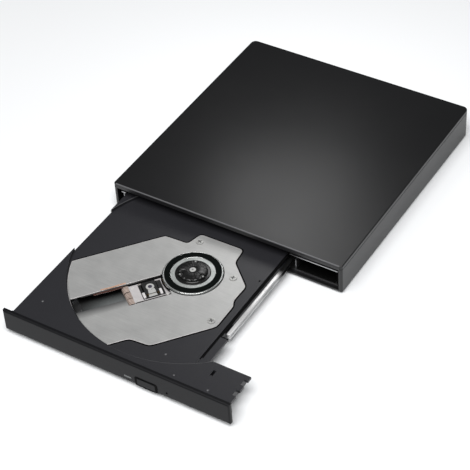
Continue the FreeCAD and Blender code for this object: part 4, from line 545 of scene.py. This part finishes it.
# %% From grids to one piece
def skin(name, grids, body, finish, loop=False, sharp=38.0):
    """Four neighbours make a face; the last column meets the first. The first and last rows are filled,
    or meet each other in a loop. A grid whose faces look inwards on the whole is turned round."""
    points, faces = [], []
    for grid in grids:
        rows, columns = grid.shape[:2]
        flat = grid.reshape(-1, 3)
        row, column = np.meshgrid(np.arange(rows - (not loop)), np.arange(columns), indexing="ij")
        ahead, right_of = (row + 1) % rows * columns, (column + 1) % columns
        quads = np.stack((row * columns + column, row * columns + right_of, ahead + right_of,
                          ahead + column), -1).reshape(-1, 4)
        corner = flat[quads]
        facing = np.cross(corner[:, 2] - corner[:, 0], corner[:, 3] - corner[:, 1])
        middle = np.repeat(grid.mean(1, keepdims=True), columns, 1).reshape(-1, 3)[quads[:, 0]]
        long_form = loop or rows > 2 * columns
        out = np.einsum("ij,ij->", corner.mean(1) - (middle if long_form else flat.mean(0)), facing)
        rings = [] if loop else [np.arange(columns)[::-1], np.arange(columns) + (rows - 1) * columns]
        start, step = sum(map(len, points)), 1 if out > 0 else -1
        faces += [(face[::step] + start).tolist() for face in (*quads, *rings)]
        points.append(flat)
    mesh = bpy.data.meshes.new(name)
    mesh.from_pydata((np.concatenate(points) * MM).tolist(), [], faces)
    mesh.shade_smooth()
    mesh.set_sharp_from_angle(angle=math.radians(sharp))
    mesh.materials.append(finish.material)
    piece = bpy.data.objects.new(name, mesh)
    bpy.context.scene.collection.objects.link(piece)
    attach(piece, body)
    print(name, len(mesh.vertices), "points on", body)
    return piece


# %% [markdown]
# ## Finishes for the small pieces
# Bright edges, gold contacts and glossy black moulding appear only on small pieces, so they come here,
# from the same helpers as before. The pale grey of the rim's far end and of the studs is painted
# highlight. Deep black is painted shade, where the real part has a gap in shadow.

# %% Edge, gold, gloss and shadow
edge_steel = rolled_steel("edge_steel", (0.70, 0.70, 0.69), (0.86, 0.86, 0.85), 0.24, SLED_ANGLE)
# The rails turn black towards the drive's mouth: a painted shadow of the case.
rail_steel = rolled_steel("rail_steel", grey(0.50), grey(0.86), 0.34, RAIL_ANGLE,
                          (3.0, 1.0), metal=0.5, shadow_span=(-82.5 * MM, -77.5 * MM))
contact_gold = rolled_steel("contact_gold", (0.72, 0.50, 0.20), (0.85, 0.63, 0.30), 0.2)
head_steel = rolled_steel("head_steel", (0.55, 0.54, 0.52), (0.80, 0.79, 0.76), 0.36, metal=0.4)
pad_white = rolled_steel("pad_white", (0.66, 0.64, 0.64), (0.80, 0.78, 0.78), 0.4, metal=0.3)
highlight_grey = moulded_plastic("highlight_grey", (0.075, 0.075, 0.078), (0.11, 0.11, 0.115), 0.28, FINE_GRAIN)
gloss_black = moulded_plastic("gloss_black", grey(0.003), grey(0.012), 0.24, 0.5 * MM, polish=0.16)
deep_black = moulded_plastic("deep_black", grey(0.001), grey(0.002), 0.7, 0.3 * MM, Specular_IOR_Level=0.08)
pale_plastic = moulded_plastic("pale_plastic", (0.34, 0.34, 0.33), (0.46, 0.46, 0.45), 0.35, FINE_GRAIN)
print("small finishes ready")

# %% [markdown]
# Three finishes change from place to place: the amber film, the cover's lip with a painted highlight
# along its top, and the dark film in the slot, whose tone is painted light and shade. They read the
# object's own coordinates, so the change moves with the piece.

# %% Amber film, lip with painted highlight and slot film with painted shade
def amber_film(name, dark, light):
    """Copper conductors show as darker lines through the film, which is glossy on top."""
    finish = Finish(name, Coat_Weight=0.4, IOR=1.5)
    spot = finish.place(turn=-SLED_ANGLE)
    lines = (finish.axis(spot, "Y") * (1.0 / (0.45 * MM))).repeat(1.0)
    cloud = finish.noise(finish.place(), 2.2 * MM, 3.0)
    colour = finish.mix(finish.ramp(lines * 0.6 + cloud * 0.5, 0.25, 0.8), dark, light)
    return finish.wear(Base_Color=colour, Roughness=cloud * 0.2 + 0.22,
                       Normal=finish.bump(lines, 0.02 * MM))


def lip_painted_highlight(name, dark, light, low, high):
    """The colour turns pale between two heights: a painted highlight along the upper edge."""
    finish = Finish(name)
    fine = finish.noise(finish.place(), 0.35 * MM, 3.0)
    highlight_mask = finish.ramp(finish.axis(finish.place(), "Z"), low, high)
    return finish.wear(Base_Color=finish.mix(highlight_mask * (fine * 0.5 + 0.75), dark, light),
                       Roughness=highlight_mask * -0.1 + 0.42, Normal=finish.bump(fine, 0.012 * MM))


def film_with_painted_shade(name, dark, light, low, high, fade_from, fade_to):
    """Painted light and shade: the tone rises across the sled's direction, and falls again towards the far
    end.
    """
    finish = Finish(name)
    spot = finish.place(centre=tuple(SPINDLE * MM), turn=-SLED_ANGLE)
    across = finish.ramp(finish.axis(spot, "Y"), low, high)
    end = finish.ramp(finish.axis(spot, "X"), fade_from, fade_to)
    fine = finish.noise(finish.place(), 1.2 * MM, 3.0)
    tone = across * (1 - end * 0.8) * (fine * 0.3 + 0.85)
    return finish.wear(Base_Color=finish.mix(tone, dark, light), Roughness=fine * 0.1 + 0.4,
                       Normal=finish.bump(fine, 0.01 * MM))


flex_amber = amber_film("flex_amber", (0.30, 0.16, 0.10), (0.56, 0.36, 0.26))
# A darker copy of the amber film, for the cable in the slot's shade: painted shade.
flex_amber_shaded = amber_film("flex_amber_shaded", (0.03, 0.009, 0.006), (0.085, 0.03, 0.02))
flex_faded = amber_film("flex_faded", (0.11, 0.07, 0.055), (0.52, 0.43, 0.38))
# The lip pales along its top: a painted highlight.
lip_black = lip_painted_highlight("lip_black", (0.008, 0.008, 0.009), (0.11, 0.11, 0.115), 17.72 * MM, 17.9 * MM)
# The sheet under the slot stands for the shaded floor seen through it; its tone is painted light and shade.
slot_shade_film = film_with_painted_shade("slot_shade_film", grey(0.002), (0.15, 0.16, 0.16),
                         -7.5 * MM, 1.2 * MM, 44 * MM, 58 * MM)
print("films and lip ready")

# %% [markdown]
# ## Edges that catch the light
# In the photograph thin pale lines draw the part: the rim of the bed for the disc, the cut edge of
# the silver plate, the lip of the case above the tray. Real edges are never sharp, and a rounded edge
# of a third of a millimetre always finds some light to reflect. Each line is a bead swept along its edge.
# On the rim's far end and on the lip the pale colour is a painted highlight as well.

# %% The rim of the disc's bed
TRAY_TOP, BED_FLOOR, PLATE_TOP = 11.0, 9.2, 9.4
BED_RADIUS, BACK_RADIUS, BACK_SHIFT = 62.6, 64.3, 2.6
RIM_BEAD, RIM_HEIGHT = circle(0.16), TRAY_TOP - 0.06


def bed_rim(start, end, count=140):
    """At angle a the rim is the farther of two circles: one about the spindle, one set back from it."""
    angle = np.radians(np.linspace(start, end, count))
    back = BACK_SHIFT * np.sin(angle) + np.sqrt(BACK_RADIUS ** 2 - (BACK_SHIFT * np.cos(angle)) ** 2)
    far = np.maximum(BED_RADIUS, back)
    return SPINDLE + raised(np.stack((far * np.cos(angle), far * np.sin(angle)), -1), RIM_HEIGHT)


skin("bed_rim", [swept(bed_rim(192.6, 311.2), RIM_BEAD)], "tray", tray_black)
# The far end of the rim is drawn paler than the tray: painted highlight.
skin("bed_rim_back", [swept(bed_rim(126.5, 162.6, 50), RIM_BEAD)], "tray", highlight_grey)

# %% [markdown]
# The silver plate fills a window whose far end is cut off by the round bed. Every corner moves in along
# its bisector and is rounded, and what lies outside the circle gives way to an arc.

# %% The plate's outline
WINDOW = np.array(((70.0, -32.2), (4.2, -32.2), (-4.5, -22.5), (-12.8, -26.6), (-29.4, -7.0),
                   (-22.3, 0.2), (-21.5, 18.8), (-12.6, 25.8), (-11.4, 29.3), (0.8, 39.5),
                   (34.8, 39.5), (42.5, 31.5), (70.0, 31.5)))
PLATE_REACH, WINDOW_CORNER = 62.2, 2.2


def drawn_in(corners, distance):
    """Each corner moves along the bisector of its two sides' inward normals."""
    first = unit(corners - np.roll(corners, 1, 0))
    second = unit(np.roll(corners, -1, 0) - corners)
    sideways = np.stack((first[:, 1] + second[:, 1], -first[:, 0] - second[:, 0]), -1)
    return corners + sideways * 2 * distance / (sideways ** 2).sum(1, keepdims=True)


def plate_outline(distance):
    """The window's rounded outline inside the circle, closed by the circle's own arc."""
    outline = rounded(drawn_in(WINDOW, distance), WINDOW_CORNER)
    fine = np.concatenate([np.linspace(a, b, 12, endpoint=False)
                           for a, b in zip(outline, np.roll(outline, -1, 0))])
    inside = fine[np.hypot(*fine.T) < PLATE_REACH]
    jump = np.argmax(np.hypot(*(np.roll(inside, -1, 0) - inside).T))
    inside = np.roll(inside, -jump - 1, 0)
    ends = np.arctan2(inside[[-1, 0], 1], inside[[-1, 0], 0])
    arc = np.linspace(ends[0], ends[1], 60)[1:-1]
    return np.vstack((inside, PLATE_REACH * np.stack((np.cos(arc), np.sin(arc)), -1)))


print("the plate's outline has", len(plate_outline(0.0)), "points")

# %% [markdown]
# The plate's cut edge is a pale bead. The thin gaps round the plate and round the turntable are black
# beads just below: painted shade. The slot for the pickup gets the same pale beads, and a strip of amber
# cable shows along it, with a darker copy lower down that is painted shade.

# %% Beads on the plate and its slot
EDGE_HEIGHT, GAP_HEIGHT = PLATE_TOP - 0.12, BED_FLOOR + 0.04


def run(start, end, across, height, count=40, sway=0.0):
    """A straight run along the sled's direction, with a slow sideways sway."""
    along = np.linspace(start, end, count)
    return on_sled(np.stack((along, across + sway * np.sin(along * 0.5), np.full(count, height)), -1))


skin("plate_edge", [swept(on_sled(raised(plate_outline(0.55), EDGE_HEIGHT)), circle(0.14), loop=True)],
     "tray", cover_steel, loop=True)
gap_shade_tape = oblong((-0.42, -0.12), (0.42, 0.06), 0.05, 2)
skin("plate_gap_shade", [swept(on_sled(raised(plate_outline(0.08), GAP_HEIGHT)), gap_shade_tape, loop=True),
                      ring(15.72, 8.8, 0.42)],
     "tray", deep_black, loop=True)
skin("slot_edges", [swept(run(15.4, 61.6, -5.62, EDGE_HEIGHT), circle(0.13)),
                    swept(run(14.6, 36.0, 9.82, EDGE_HEIGHT), circle(0.13))],
     "tray", cover_steel)
upper_tape = oblong((-0.45, -0.06), (0.45, 0.06), 0.05, 2)
skin("slot_flex", [swept(run(33.0, 46.0, -6.0, PLATE_TOP + 0.06, 60, 0.12), upper_tape)],
     "tray", flex_amber)
lower_tape = oblong((-0.5, -0.05), (0.5, 0.05), 0.05, 2)
skin("slot_flex_shade", [swept(run(35.0, 50.0, -4.9, 8.5, 60, 0.1), lower_tape)],
     "tray", flex_amber_shaded)

# %% [markdown]
# The cover's front edge hangs over the tray as a lip. It is one long rounded bar, with a painted
# highlight along its top.

# %% The lip of the cover
LIP_START, LIP_END = (-66.0, -70.6, 16.75), (66.0, -70.6, 16.75)
lip = swept(np.linspace(LIP_START, LIP_END, 60), oblong((-0.5, -1.45), (0.54, 1.44), 0.35))
skin("cover_lip", [lip], "case", lip_black)

# %% [markdown]
# ## The hub and its ring
# A disc clicks over the hub and lies on the rubber ring. The hub is a black cap with ribs that run in
# to a pale middle, and three sprung claws stand in its side. Its grid is a turned profile whose height
# and radius ripple with the angle, and drop at the claws.

# %% The ribbed cap
CLAW_TURNS = SLED_ANGLE + np.radians((0.0, 120.0, 240.0))
CAP_PROFILE = np.array(((8.6, 9.4), (9.05, 9.66), (9.05, 10.15), (8.7, 10.36), (7.5, 10.4), (7.32, 10.55),
                        (7.3, 11.6), (7.15, 11.88), (6.8, 12.06), (6.0, 12.16), (4.6, 12.26),
                        (3.6, 12.3), (2.6, 12.3), (2.3, 12.26), (2.2, 12.0), (1.9, 12.0), (1.8, 12.2),
                        (1.6, 12.28), (0.9, 12.3), (0.1, 12.3)))
RIB_COUNT, RIB_RISE, CLAW_HALF_GAP, CLAW_DEPTH, CLAW_SILL = 18, 0.09, 1.35, 5.0, 11.95


def hub_cap(count=216):
    """The height grows by a ripple of the ribs on the cone, and radius and height shrink at each claw."""
    radius, height = CAP_PROFILE[:, :1], CAP_PROFILE[:, 1:]
    angle = np.linspace(0.0, 2 * math.pi, count, endpoint=False)[None]
    cone = np.clip((height - 11.6) / 0.3, 0.0, 1.0) * np.clip((radius - 2.6) / 1.0, 0.0, 1.0)
    ripple = np.clip(np.cos(angle * RIB_COUNT) * 3.0, -1.0, 1.0)
    near = np.stack([np.abs(np.angle(np.exp(1j * (angle - turn)))) for turn in CLAW_TURNS]).min(0)
    gap = (near * radius < CLAW_HALF_GAP) & (height > 10.5) & (radius > 4.5)
    high = height + RIB_RISE * ripple * cone
    wide = np.where(gap, np.minimum(radius, CLAW_DEPTH), radius)
    deep = np.where(gap, np.minimum(high, CLAW_SILL), high)
    return SPINDLE + np.stack((wide * np.cos(angle), wide * np.sin(angle), deep), -1)


cap = skin("hub_cap", [hub_cap()], "disc_turntable", gloss_black, sharp=30.0)
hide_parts("turntable_hub")

# %% [markdown]
# The middle of the hub, the claws' tips and two fine steel beads on the turntable are small turned and
# swept forms. The tips are pale to stand for the claws' glints: painted highlight. Each tip rides on
# its own claw, so it moves when the claw is pressed in.

# %% Middle, claw tips and beads
MIDDLE_PROFILE = ((1.6, 12.1), (1.6, 12.28), (1.4, 12.37), (0.5, 12.39), (0.4, 12.3), (0.05, 12.3))
TIP_PROFILE = ((0.5, 0.0), (0.48, 0.2), (0.36, 0.34), (0.2, 0.42), (0.03, 0.44))
TIP_REACH, TIP_HEIGHT = 6.7, 11.3

skin("hub_middle", [turned(MIDDLE_PROFILE, SPINDLE)], "disc_turntable", pale_plastic)
for turn, body in zip(CLAW_TURNS, ("first_claw", "second_claw", "third_claw")):
    tip = SPINDLE + TIP_REACH * np.array((math.cos(turn), math.sin(turn), 0.0)) + UPWARD * TIP_HEIGHT
    skin(f"{body}_tip", [turned(TIP_PROFILE, tip, UPWARD, 20)], body, pale_plastic)
skin("turntable_rim", [ring(14.95, 10.06, 0.15), ring(11.3, 10.14, 0.12)],
     "disc_turntable", edge_steel, loop=True)

# %% [markdown]
# ## The pickup
# The pickup is the busiest place in the photograph: a bright cover with a dark window, a pale lens in
# its holder on hair-thin wires, small steel yokes, and an amber flat cable that curls over its end.
# They are pads and swept wires in the sled's own directions, riding on the pickup or on the lens.

# %% Lens, holder and wires
LENS_AT, LENS_RADIUS, LENS_RISE = 22.4, 2.0, 0.55
RING_PROFILE = ((1.1, 8.3), (2.1, 8.3), (2.12, 8.8), (1.95, 8.95), (1.4, 8.97), (1.1, 8.86))
lens_centre = on_sled((LENS_AT, 0.0, 0.0))
dome_turn = np.linspace(0.0, math.pi / 2 - 0.02, 10)
dome = np.stack((LENS_RADIUS * np.cos(dome_turn), 8.3 + LENS_RISE * np.sin(dome_turn)), -1)
lens_piece = skin("lens_dome", [turned(np.vstack(((LENS_RADIUS, 8.1), dome)), lens_centre)],
                  "lens", lens_glass)
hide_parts("objective_lens")
skin("lens_ring", [turned(RING_PROFILE, lens_centre)], "lens", pale_plastic, loop=True)
wires = [swept(run(LENS_AT - 3.4, LENS_AT + 5.0, side * 4.45, height, 16), circle(0.07, 6))
         for side in (-1, 1) for height in (7.3, 7.9)]
skin("lens_wires", wires, "lens", contact_gold)

# %% [markdown]
# The holder's arm steps down where the plate's fold hangs over it, so that it passes when the pickup
# runs outwards.

# %% Yokes, arm and solder pads
YOKES = ((26.72, 4.1, 1.3, 3.7), (18.02, 4.1, 1.3, 3.7))
ARM = ((20.6, 1.4), (24.0, 1.4), (24.4, 4.3), (20.4, 4.3))
ARM_STEP = ((20.4, 4.1), (24.4, 4.1), (24.7, 6.0), (20.3, 6.0))
SOLDER_ROW = [(15.0, across, 0.7, 0.6) for across in (-3.4, -2.0, -0.6, 0.8, 2.2)]


def sled_pads(spots, low, high, edge=0.12):
    """A pad for each spot: its middle along and across, its width and its depth."""
    return [on_sled(pad(oblong((u - wide / 2, v - deep / 2), (u + wide / 2, v + deep / 2), edge * 2),
                        low, high, edge)) for u, v, wide, deep in spots]


skin("steel_yokes", sled_pads(YOKES, 7.3, 8.2), "pickup", pad_white)
skin("holder_arm", [on_sled(pad(rounded(ARM, 0.5), 8.36, 8.56, 0.12)),
                    on_sled(pad(rounded(ARM_STEP, 0.3), 7.8, 7.94, 0.06))],
     "lens", pale_plastic)
skin("solder_pads", sled_pads(SOLDER_ROW, 7.75, 7.95, 0.1), "pickup", contact_gold)

# %% [markdown]
# A screw's head is a low dome with a cross pressed into it. The cross needs no cutting: where the
# smaller of |x| and |y| is under a sixth of the radius, the points are simply lowered.

# %% Screw heads
PICKUP_SCREWS = ((30.6, -3.0), (30.8, 6.6), (15.6, 7.2))
CROSS_HALF, CROSS_REACH, CROSS_DEPTH = 0.17, 0.62, 0.75


def screw_head(centre, radius, rise, axis=UPWARD, turn=0.5, count=64):
    """A dome of radius and rise, lowered by most of its rise inside the cross."""
    spread = np.concatenate(((1.0, 1.0, 0.97, 0.9), np.linspace(0.82, 0.02, 12)))
    height = np.concatenate(((0.0, 0.5, 0.8, 0.92), 0.94 + 0.06 * np.linspace(0.0, 1.0, 12))) * rise
    grid = turned(np.stack((spread * radius, height), -1), (0.0, 0.0, 0.0), count=count)
    x = grid[..., 0] * math.cos(turn) - grid[..., 1] * math.sin(turn)
    y = grid[..., 0] * math.sin(turn) + grid[..., 1] * math.cos(turn)
    near, far = np.minimum(abs(x), abs(y)), np.maximum(abs(x), abs(y))
    grid[..., 2] -= ((near < CROSS_HALF * radius) & (far < CROSS_REACH * radius)) * rise * CROSS_DEPTH
    axis = np.asarray(axis, float)
    return np.asarray(centre) + grid @ np.stack((beside(axis), np.cross(axis, beside(axis)), axis))


skin("pickup_screws", [screw_head(on_sled((*spot, 7.7)), 0.8, 0.22) for spot in PICKUP_SCREWS],
     "pickup", head_steel)

# %% [markdown]
# The flat cable leaves the cover, turns over its end in a half circle, and runs back under it. It has
# split into three ribbons that lie a little apart. Each ribbon is a path in a plane, given a thickness
# square to the path and a width across it.

# %% The curl of flat cable
CURL_RADIUS, CURL_AT, CURL_MIDDLE, FILM_HALF = 1.5, 33.6, 6.1, 0.07
RIBBONS = ((-5.3, -1.2, 0.6), (-0.8, 3.3, 0.4), (3.7, 7.7, 0.55))


def ribbon(start, end, lift, count=26):
    """Along and height follow straight, half circle, straight; the film is thick square to that path."""
    turn = np.linspace(0.0, math.pi, count)
    along = np.concatenate(((31.9, 32.6), CURL_AT + CURL_RADIUS * np.sin(turn), (32.9,))) + lift
    height = np.concatenate(((7.6, 7.62), CURL_MIDDLE + CURL_RADIUS * np.cos(turn), (4.6,))) + lift * 0.4
    line = np.stack((along, height), -1)
    slope = unit(np.gradient(line, axis=0))
    thick = np.stack((-slope[:, 1], slope[:, 0]), -1)[:, None] * np.array((1, 1, -1, -1))[None, :, None]
    across = np.broadcast_to(np.array((start, end, end, start)), (len(line), 4))
    edges = line[:, None] + thick * FILM_HALF
    return on_sled(np.stack((edges[..., 0], across, edges[..., 1]), -1))


flex_curl = skin("flex_curl", [ribbon(*strip) for strip in RIBBONS], "pickup", flex_faded)
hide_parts("laser_diode")
CAN_PROFILE = ((1.3, 0.0), (1.6, 0.0), (1.6, 0.5), (1.25, 0.7), (1.25, 2.0), (1.1, 2.15), (0.1, 2.15))
skin("laser_can", [turned(CAN_PROFILE, on_sled((33.9, 3.4, 5.7)), -ALONG, 32)],
     "pickup", contact_gold)

# %% [markdown]
# ## Rails
# The near rail is the brightest line of the photograph: a rolled steel bar whose rounded top shades
# from white to grey. It keeps the grooves that the guides and the tray's hooks run in. Its section is
# drawn once and repeated at stations along the bar, a little smaller at the ends, which rounds them.

# %% Rolled rails
RAIL_HALF = np.array(((1.0, 4.5), (1.0, 5.3), (0.3, 5.3), (0.3, 6.9), (1.0, 6.9), (1.0, 7.7)))
RAIL_MIDDLE = np.array((0.0, 6.1))
STATIONS = np.array((-128.0, -127.9, -127.6, -100.0, -70.0, -40.0, -31.2, -31.0))
SHRINK = np.array((0.72, 0.9, 1.0, 1.0, 1.0, 1.0, 1.0, 0.9))[:, None, None]

section = rounded(np.vstack((RAIL_HALF, RAIL_HALF[::-1] * (-1.0, 1.0))), 0.42, 5)
flat = RAIL_MIDDLE + (section - RAIL_MIDDLE) * SHRINK
for name, middle, body in (("left_rail", -60.4, "left_rail_bar"), ("right_rail", 36.8, "right_rail_bar")):
    grid = np.stack((flat[..., 0] + middle, np.broadcast_to(STATIONS[:, None], flat.shape[:2]),
                     flat[..., 1]), -1)
    rail = skin(f"{name}_rolled", [grid], body, rail_steel, sharp=60.0)
    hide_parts(name)

# %% [markdown]
# Three screws hold the silver plate and two hold the case. The plate's heads fade to grey towards their
# rim: a ring of painted shade.

# %% Heads on the plate and the case
PLATE_SCREWS = ((-10.4, -20.9), (-17.4, 10.4), (2.1, 34.6))

plate_head = rolled_steel("plate_head", (0.38, 0.38, 0.37), (0.60, 0.60, 0.58), 0.34, metal=0.5,
                          fold=((PLATE_TOP + 0.12) * MM, (PLATE_TOP + 0.34) * MM))
heads = skin("plate_screw_heads", [screw_head(on_sled((*spot, PLATE_TOP - 0.02)), 1.95, 0.5, turn=0.4 + index)
                                   for index, spot in enumerate(PLATE_SCREWS)],
             "tray", plate_head)
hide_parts("plate_screws")
skin("case_screw_heads", [screw_head((x, 63.4, 1.05), 1.95, 0.3, -UPWARD, 0.3) for x in (-59.9, 59.9)],
     "case", screw_steel)

# %% [markdown]
# ## Marks, and painted shade in thin gaps
# Small studs dot the tray. Gaps too thin to be solids show as black lines beside the rail, in the slot,
# in the drive's mouth and on the pickup's cover: dark strips and sheets stand for them as painted shade.

# %% Studs, and dark strips and sheets of painted shade
STUD_PROFILE = ((0.62, 0.0), (0.6, 0.1), (0.45, 0.24), (0.2, 0.32), (0.03, 0.33))
STUDS = ((30.1, -164.9, 10.68), (49.1, -165.6, 10.98), (18.6, -154.4, 9.18), (-52.9, -154.7, 10.98))
STRIPS = (((34.08, -148.6, 8.2), (35.3, -49.0, 8.95)), ((43.2, -158.4, 9.2), (47.4, -153.0, 9.58)),
          ((35.3, -132.3, 7.95), (39.4, -131.7, 9.3)))
MOUTH = (((39.9, -68.2, 2.62), (62.0, -48.0, 2.74)), ((62.95, -68.2, 2.8), (63.15, -48.0, 10.4)),
         ((63.7, -68.66, 2.1), (64.58, -68.54, 12.2)))
TRIMS = ((23.2, 7.68, 18.0, 0.6), (23.2, -5.08, 18.0, 0.6))

# The studs are pale grey to stand for their glints: painted highlight.
skin("tray_studs", [turned(STUD_PROFILE, spot, UPWARD, 20) for spot in STUDS],
     "tray", highlight_grey)
skin("dark_strips", [bar(*corners) for corners in STRIPS], "tray", deep_black)
skin("slot_shade_sheet", [on_sled(pad(oblong((34.0, -11.0), (57.0, 1.2), 1.0), 3.42, 3.6, 0.06))],
     "tray", slot_shade_film)
skin("mouth_shade", [bar(*corners, 0.05) for corners in MOUTH], "case", deep_black)
skin("cover_shade_lines", sled_pads(TRIMS, 7.74, 7.88, 0.06), "pickup", deep_black)

# %% [markdown]
# The button sits in a gap, and its face has a frame that moves with it. Both are black rings of
# painted shade, flat and standing upright.

# %% Painted shade in the button's gap and round its face
def upright_frame(outer, inner, front, back):
    """Two outlines in x and z, each at two depths in y, make a flat ring that stands upright."""
    rows = ((outer, front), (inner, front), (inner, back), (outer, back))
    return np.stack([np.insert(outline, 1, depth, axis=1) for outline, depth in rows])


gap_outer, gap_inner = oblong((12.5, 2.43), (25.3, 8.15), 1.3), oblong((13.08, 2.56), (24.72, 7.64), 0.7)
skin("button_gap_shade", [upright_frame(gap_outer, gap_inner, -172.34, -172.2)],
     "tray", deep_black, loop=True)
face_outer, face_inner = oblong((13.12, 2.62), (24.68, 7.58), 0.9), oblong((13.9, 3.2), (23.9, 7.0), 0.7)
skin("button_edge_shade", [upright_frame(face_outer, face_inner, -172.52, -172.46)],
     "button", deep_black, loop=True)

# %% [markdown]
# At its left the bezel has a short ear behind it, low enough to pass under the drive's lid. The bed's
# rim ends in a pale upright stroke there, a painted highlight. The feet are turned rubber with a ring
# pressed in.

# %% Ear, rim end and feet
STROKE_PROFILE = ((0.2, 8.4), (0.24, 8.5), (0.24, 10.9), (0.15, 11.0), (0.02, 11.0))
FOOT_PROFILE = ((4.5, 0.6), (4.5, 0.25), (4.3, 0.06), (4.0, 0.0), (3.1, 0.0), (2.9, 0.14), (2.5, 0.14),
                (2.3, 0.0), (0.1, 0.0))

skin("tray_ear", [bar((-61.4, -168.9, 10.9), (-59.8, -167.8, 12.45), 0.25)],
     "tray", tray_black)
skin("rim_start", [turned(STROKE_PROFILE, (-61.62, -82.9, 0.0), count=16)],
     "tray", pale_plastic)
feet = skin("turned_feet", [turned(FOOT_PROFILE, (x, y, 0.0)) for x in (-54.5, 54.5) for y in (-58.0, 58.0)],
            "case", feet_rubber)
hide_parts("rubber_feet")

# %% [markdown]
# ## The floor and the light
# The photograph was taken on a white sweep in a tent of soft light, so the floor burns out to white
# and the shadows are short and faint. A large pale floor, an even sky and one broad panel in front do
# that. A second, small panel hangs where the level cover mirrors it into the lens, and draws the
# soft sheen on the case.

# %% Floor, sky and panels
def pale_floor(size=6.0):
    """Four corners, half the size away from the middle."""
    corners = np.array(((-1, -1, 0), (1, -1, 0), (1, 1, 0), (-1, 1, 0))) * size / 2
    mesh = bpy.data.meshes.new("floor")
    mesh.from_pydata(corners.tolist(), [], [(0, 1, 2, 3)])
    floor = bpy.data.objects.new("floor", mesh)
    bpy.context.scene.collection.objects.link(floor)
    finish = Finish("floor_white", Roughness=0.35)
    grain = finish.noise(finish.place(), 0.2)
    finish.wear(Base_Color=finish.mix(grain, (0.90, 0.91, 0.92), (0.92, 0.93, 0.94)))
    mesh.materials.append(finish.material)


def soft_panel(name, place, aim, size, watts):
    """A rectangular lamp whose back axis runs from what it aims at to where it stands."""
    lamp = bpy.data.lights.new(name, "AREA")
    lamp.shape, lamp.size, lamp.size_y, lamp.energy = "RECTANGLE", *size, watts
    away = unit(np.array(place) - np.array(aim))
    side = unit(np.cross(UPWARD, away))
    stand(name, lamp, side, np.cross(away, side), away, place).visible_camera = False


SKY_COLOUR, SKY_STRENGTH = (0.96, 0.98, 1.0, 1.0), 0.10
pale_floor()
sky = bpy.data.worlds.new("soft_sky")
sky.use_nodes = True
sky.node_tree.nodes["Background"].inputs["Color"].default_value = SKY_COLOUR
sky.node_tree.nodes["Background"].inputs["Strength"].default_value = SKY_STRENGTH
bpy.context.scene.world = sky
soft_panel("key_panel", (0.25, -0.75, 1.5), (0.0, -0.05, 0.0), (1.6, 1.2), 40.0)
MIRRORED = back * (-1.0, -1.0, 1.0)
SHEEN_SPOT, SHEEN_REACH = np.array((40.0, -62.0, 18.0)) * MM, 0.22
soft_panel("sheen_panel", SHEEN_SPOT + MIRRORED * SHEEN_REACH, SHEEN_SPOT, (0.08, 0.08), 0.075)
bpy.context.scene.view_settings.view_transform = "Standard"
print("stage ready")
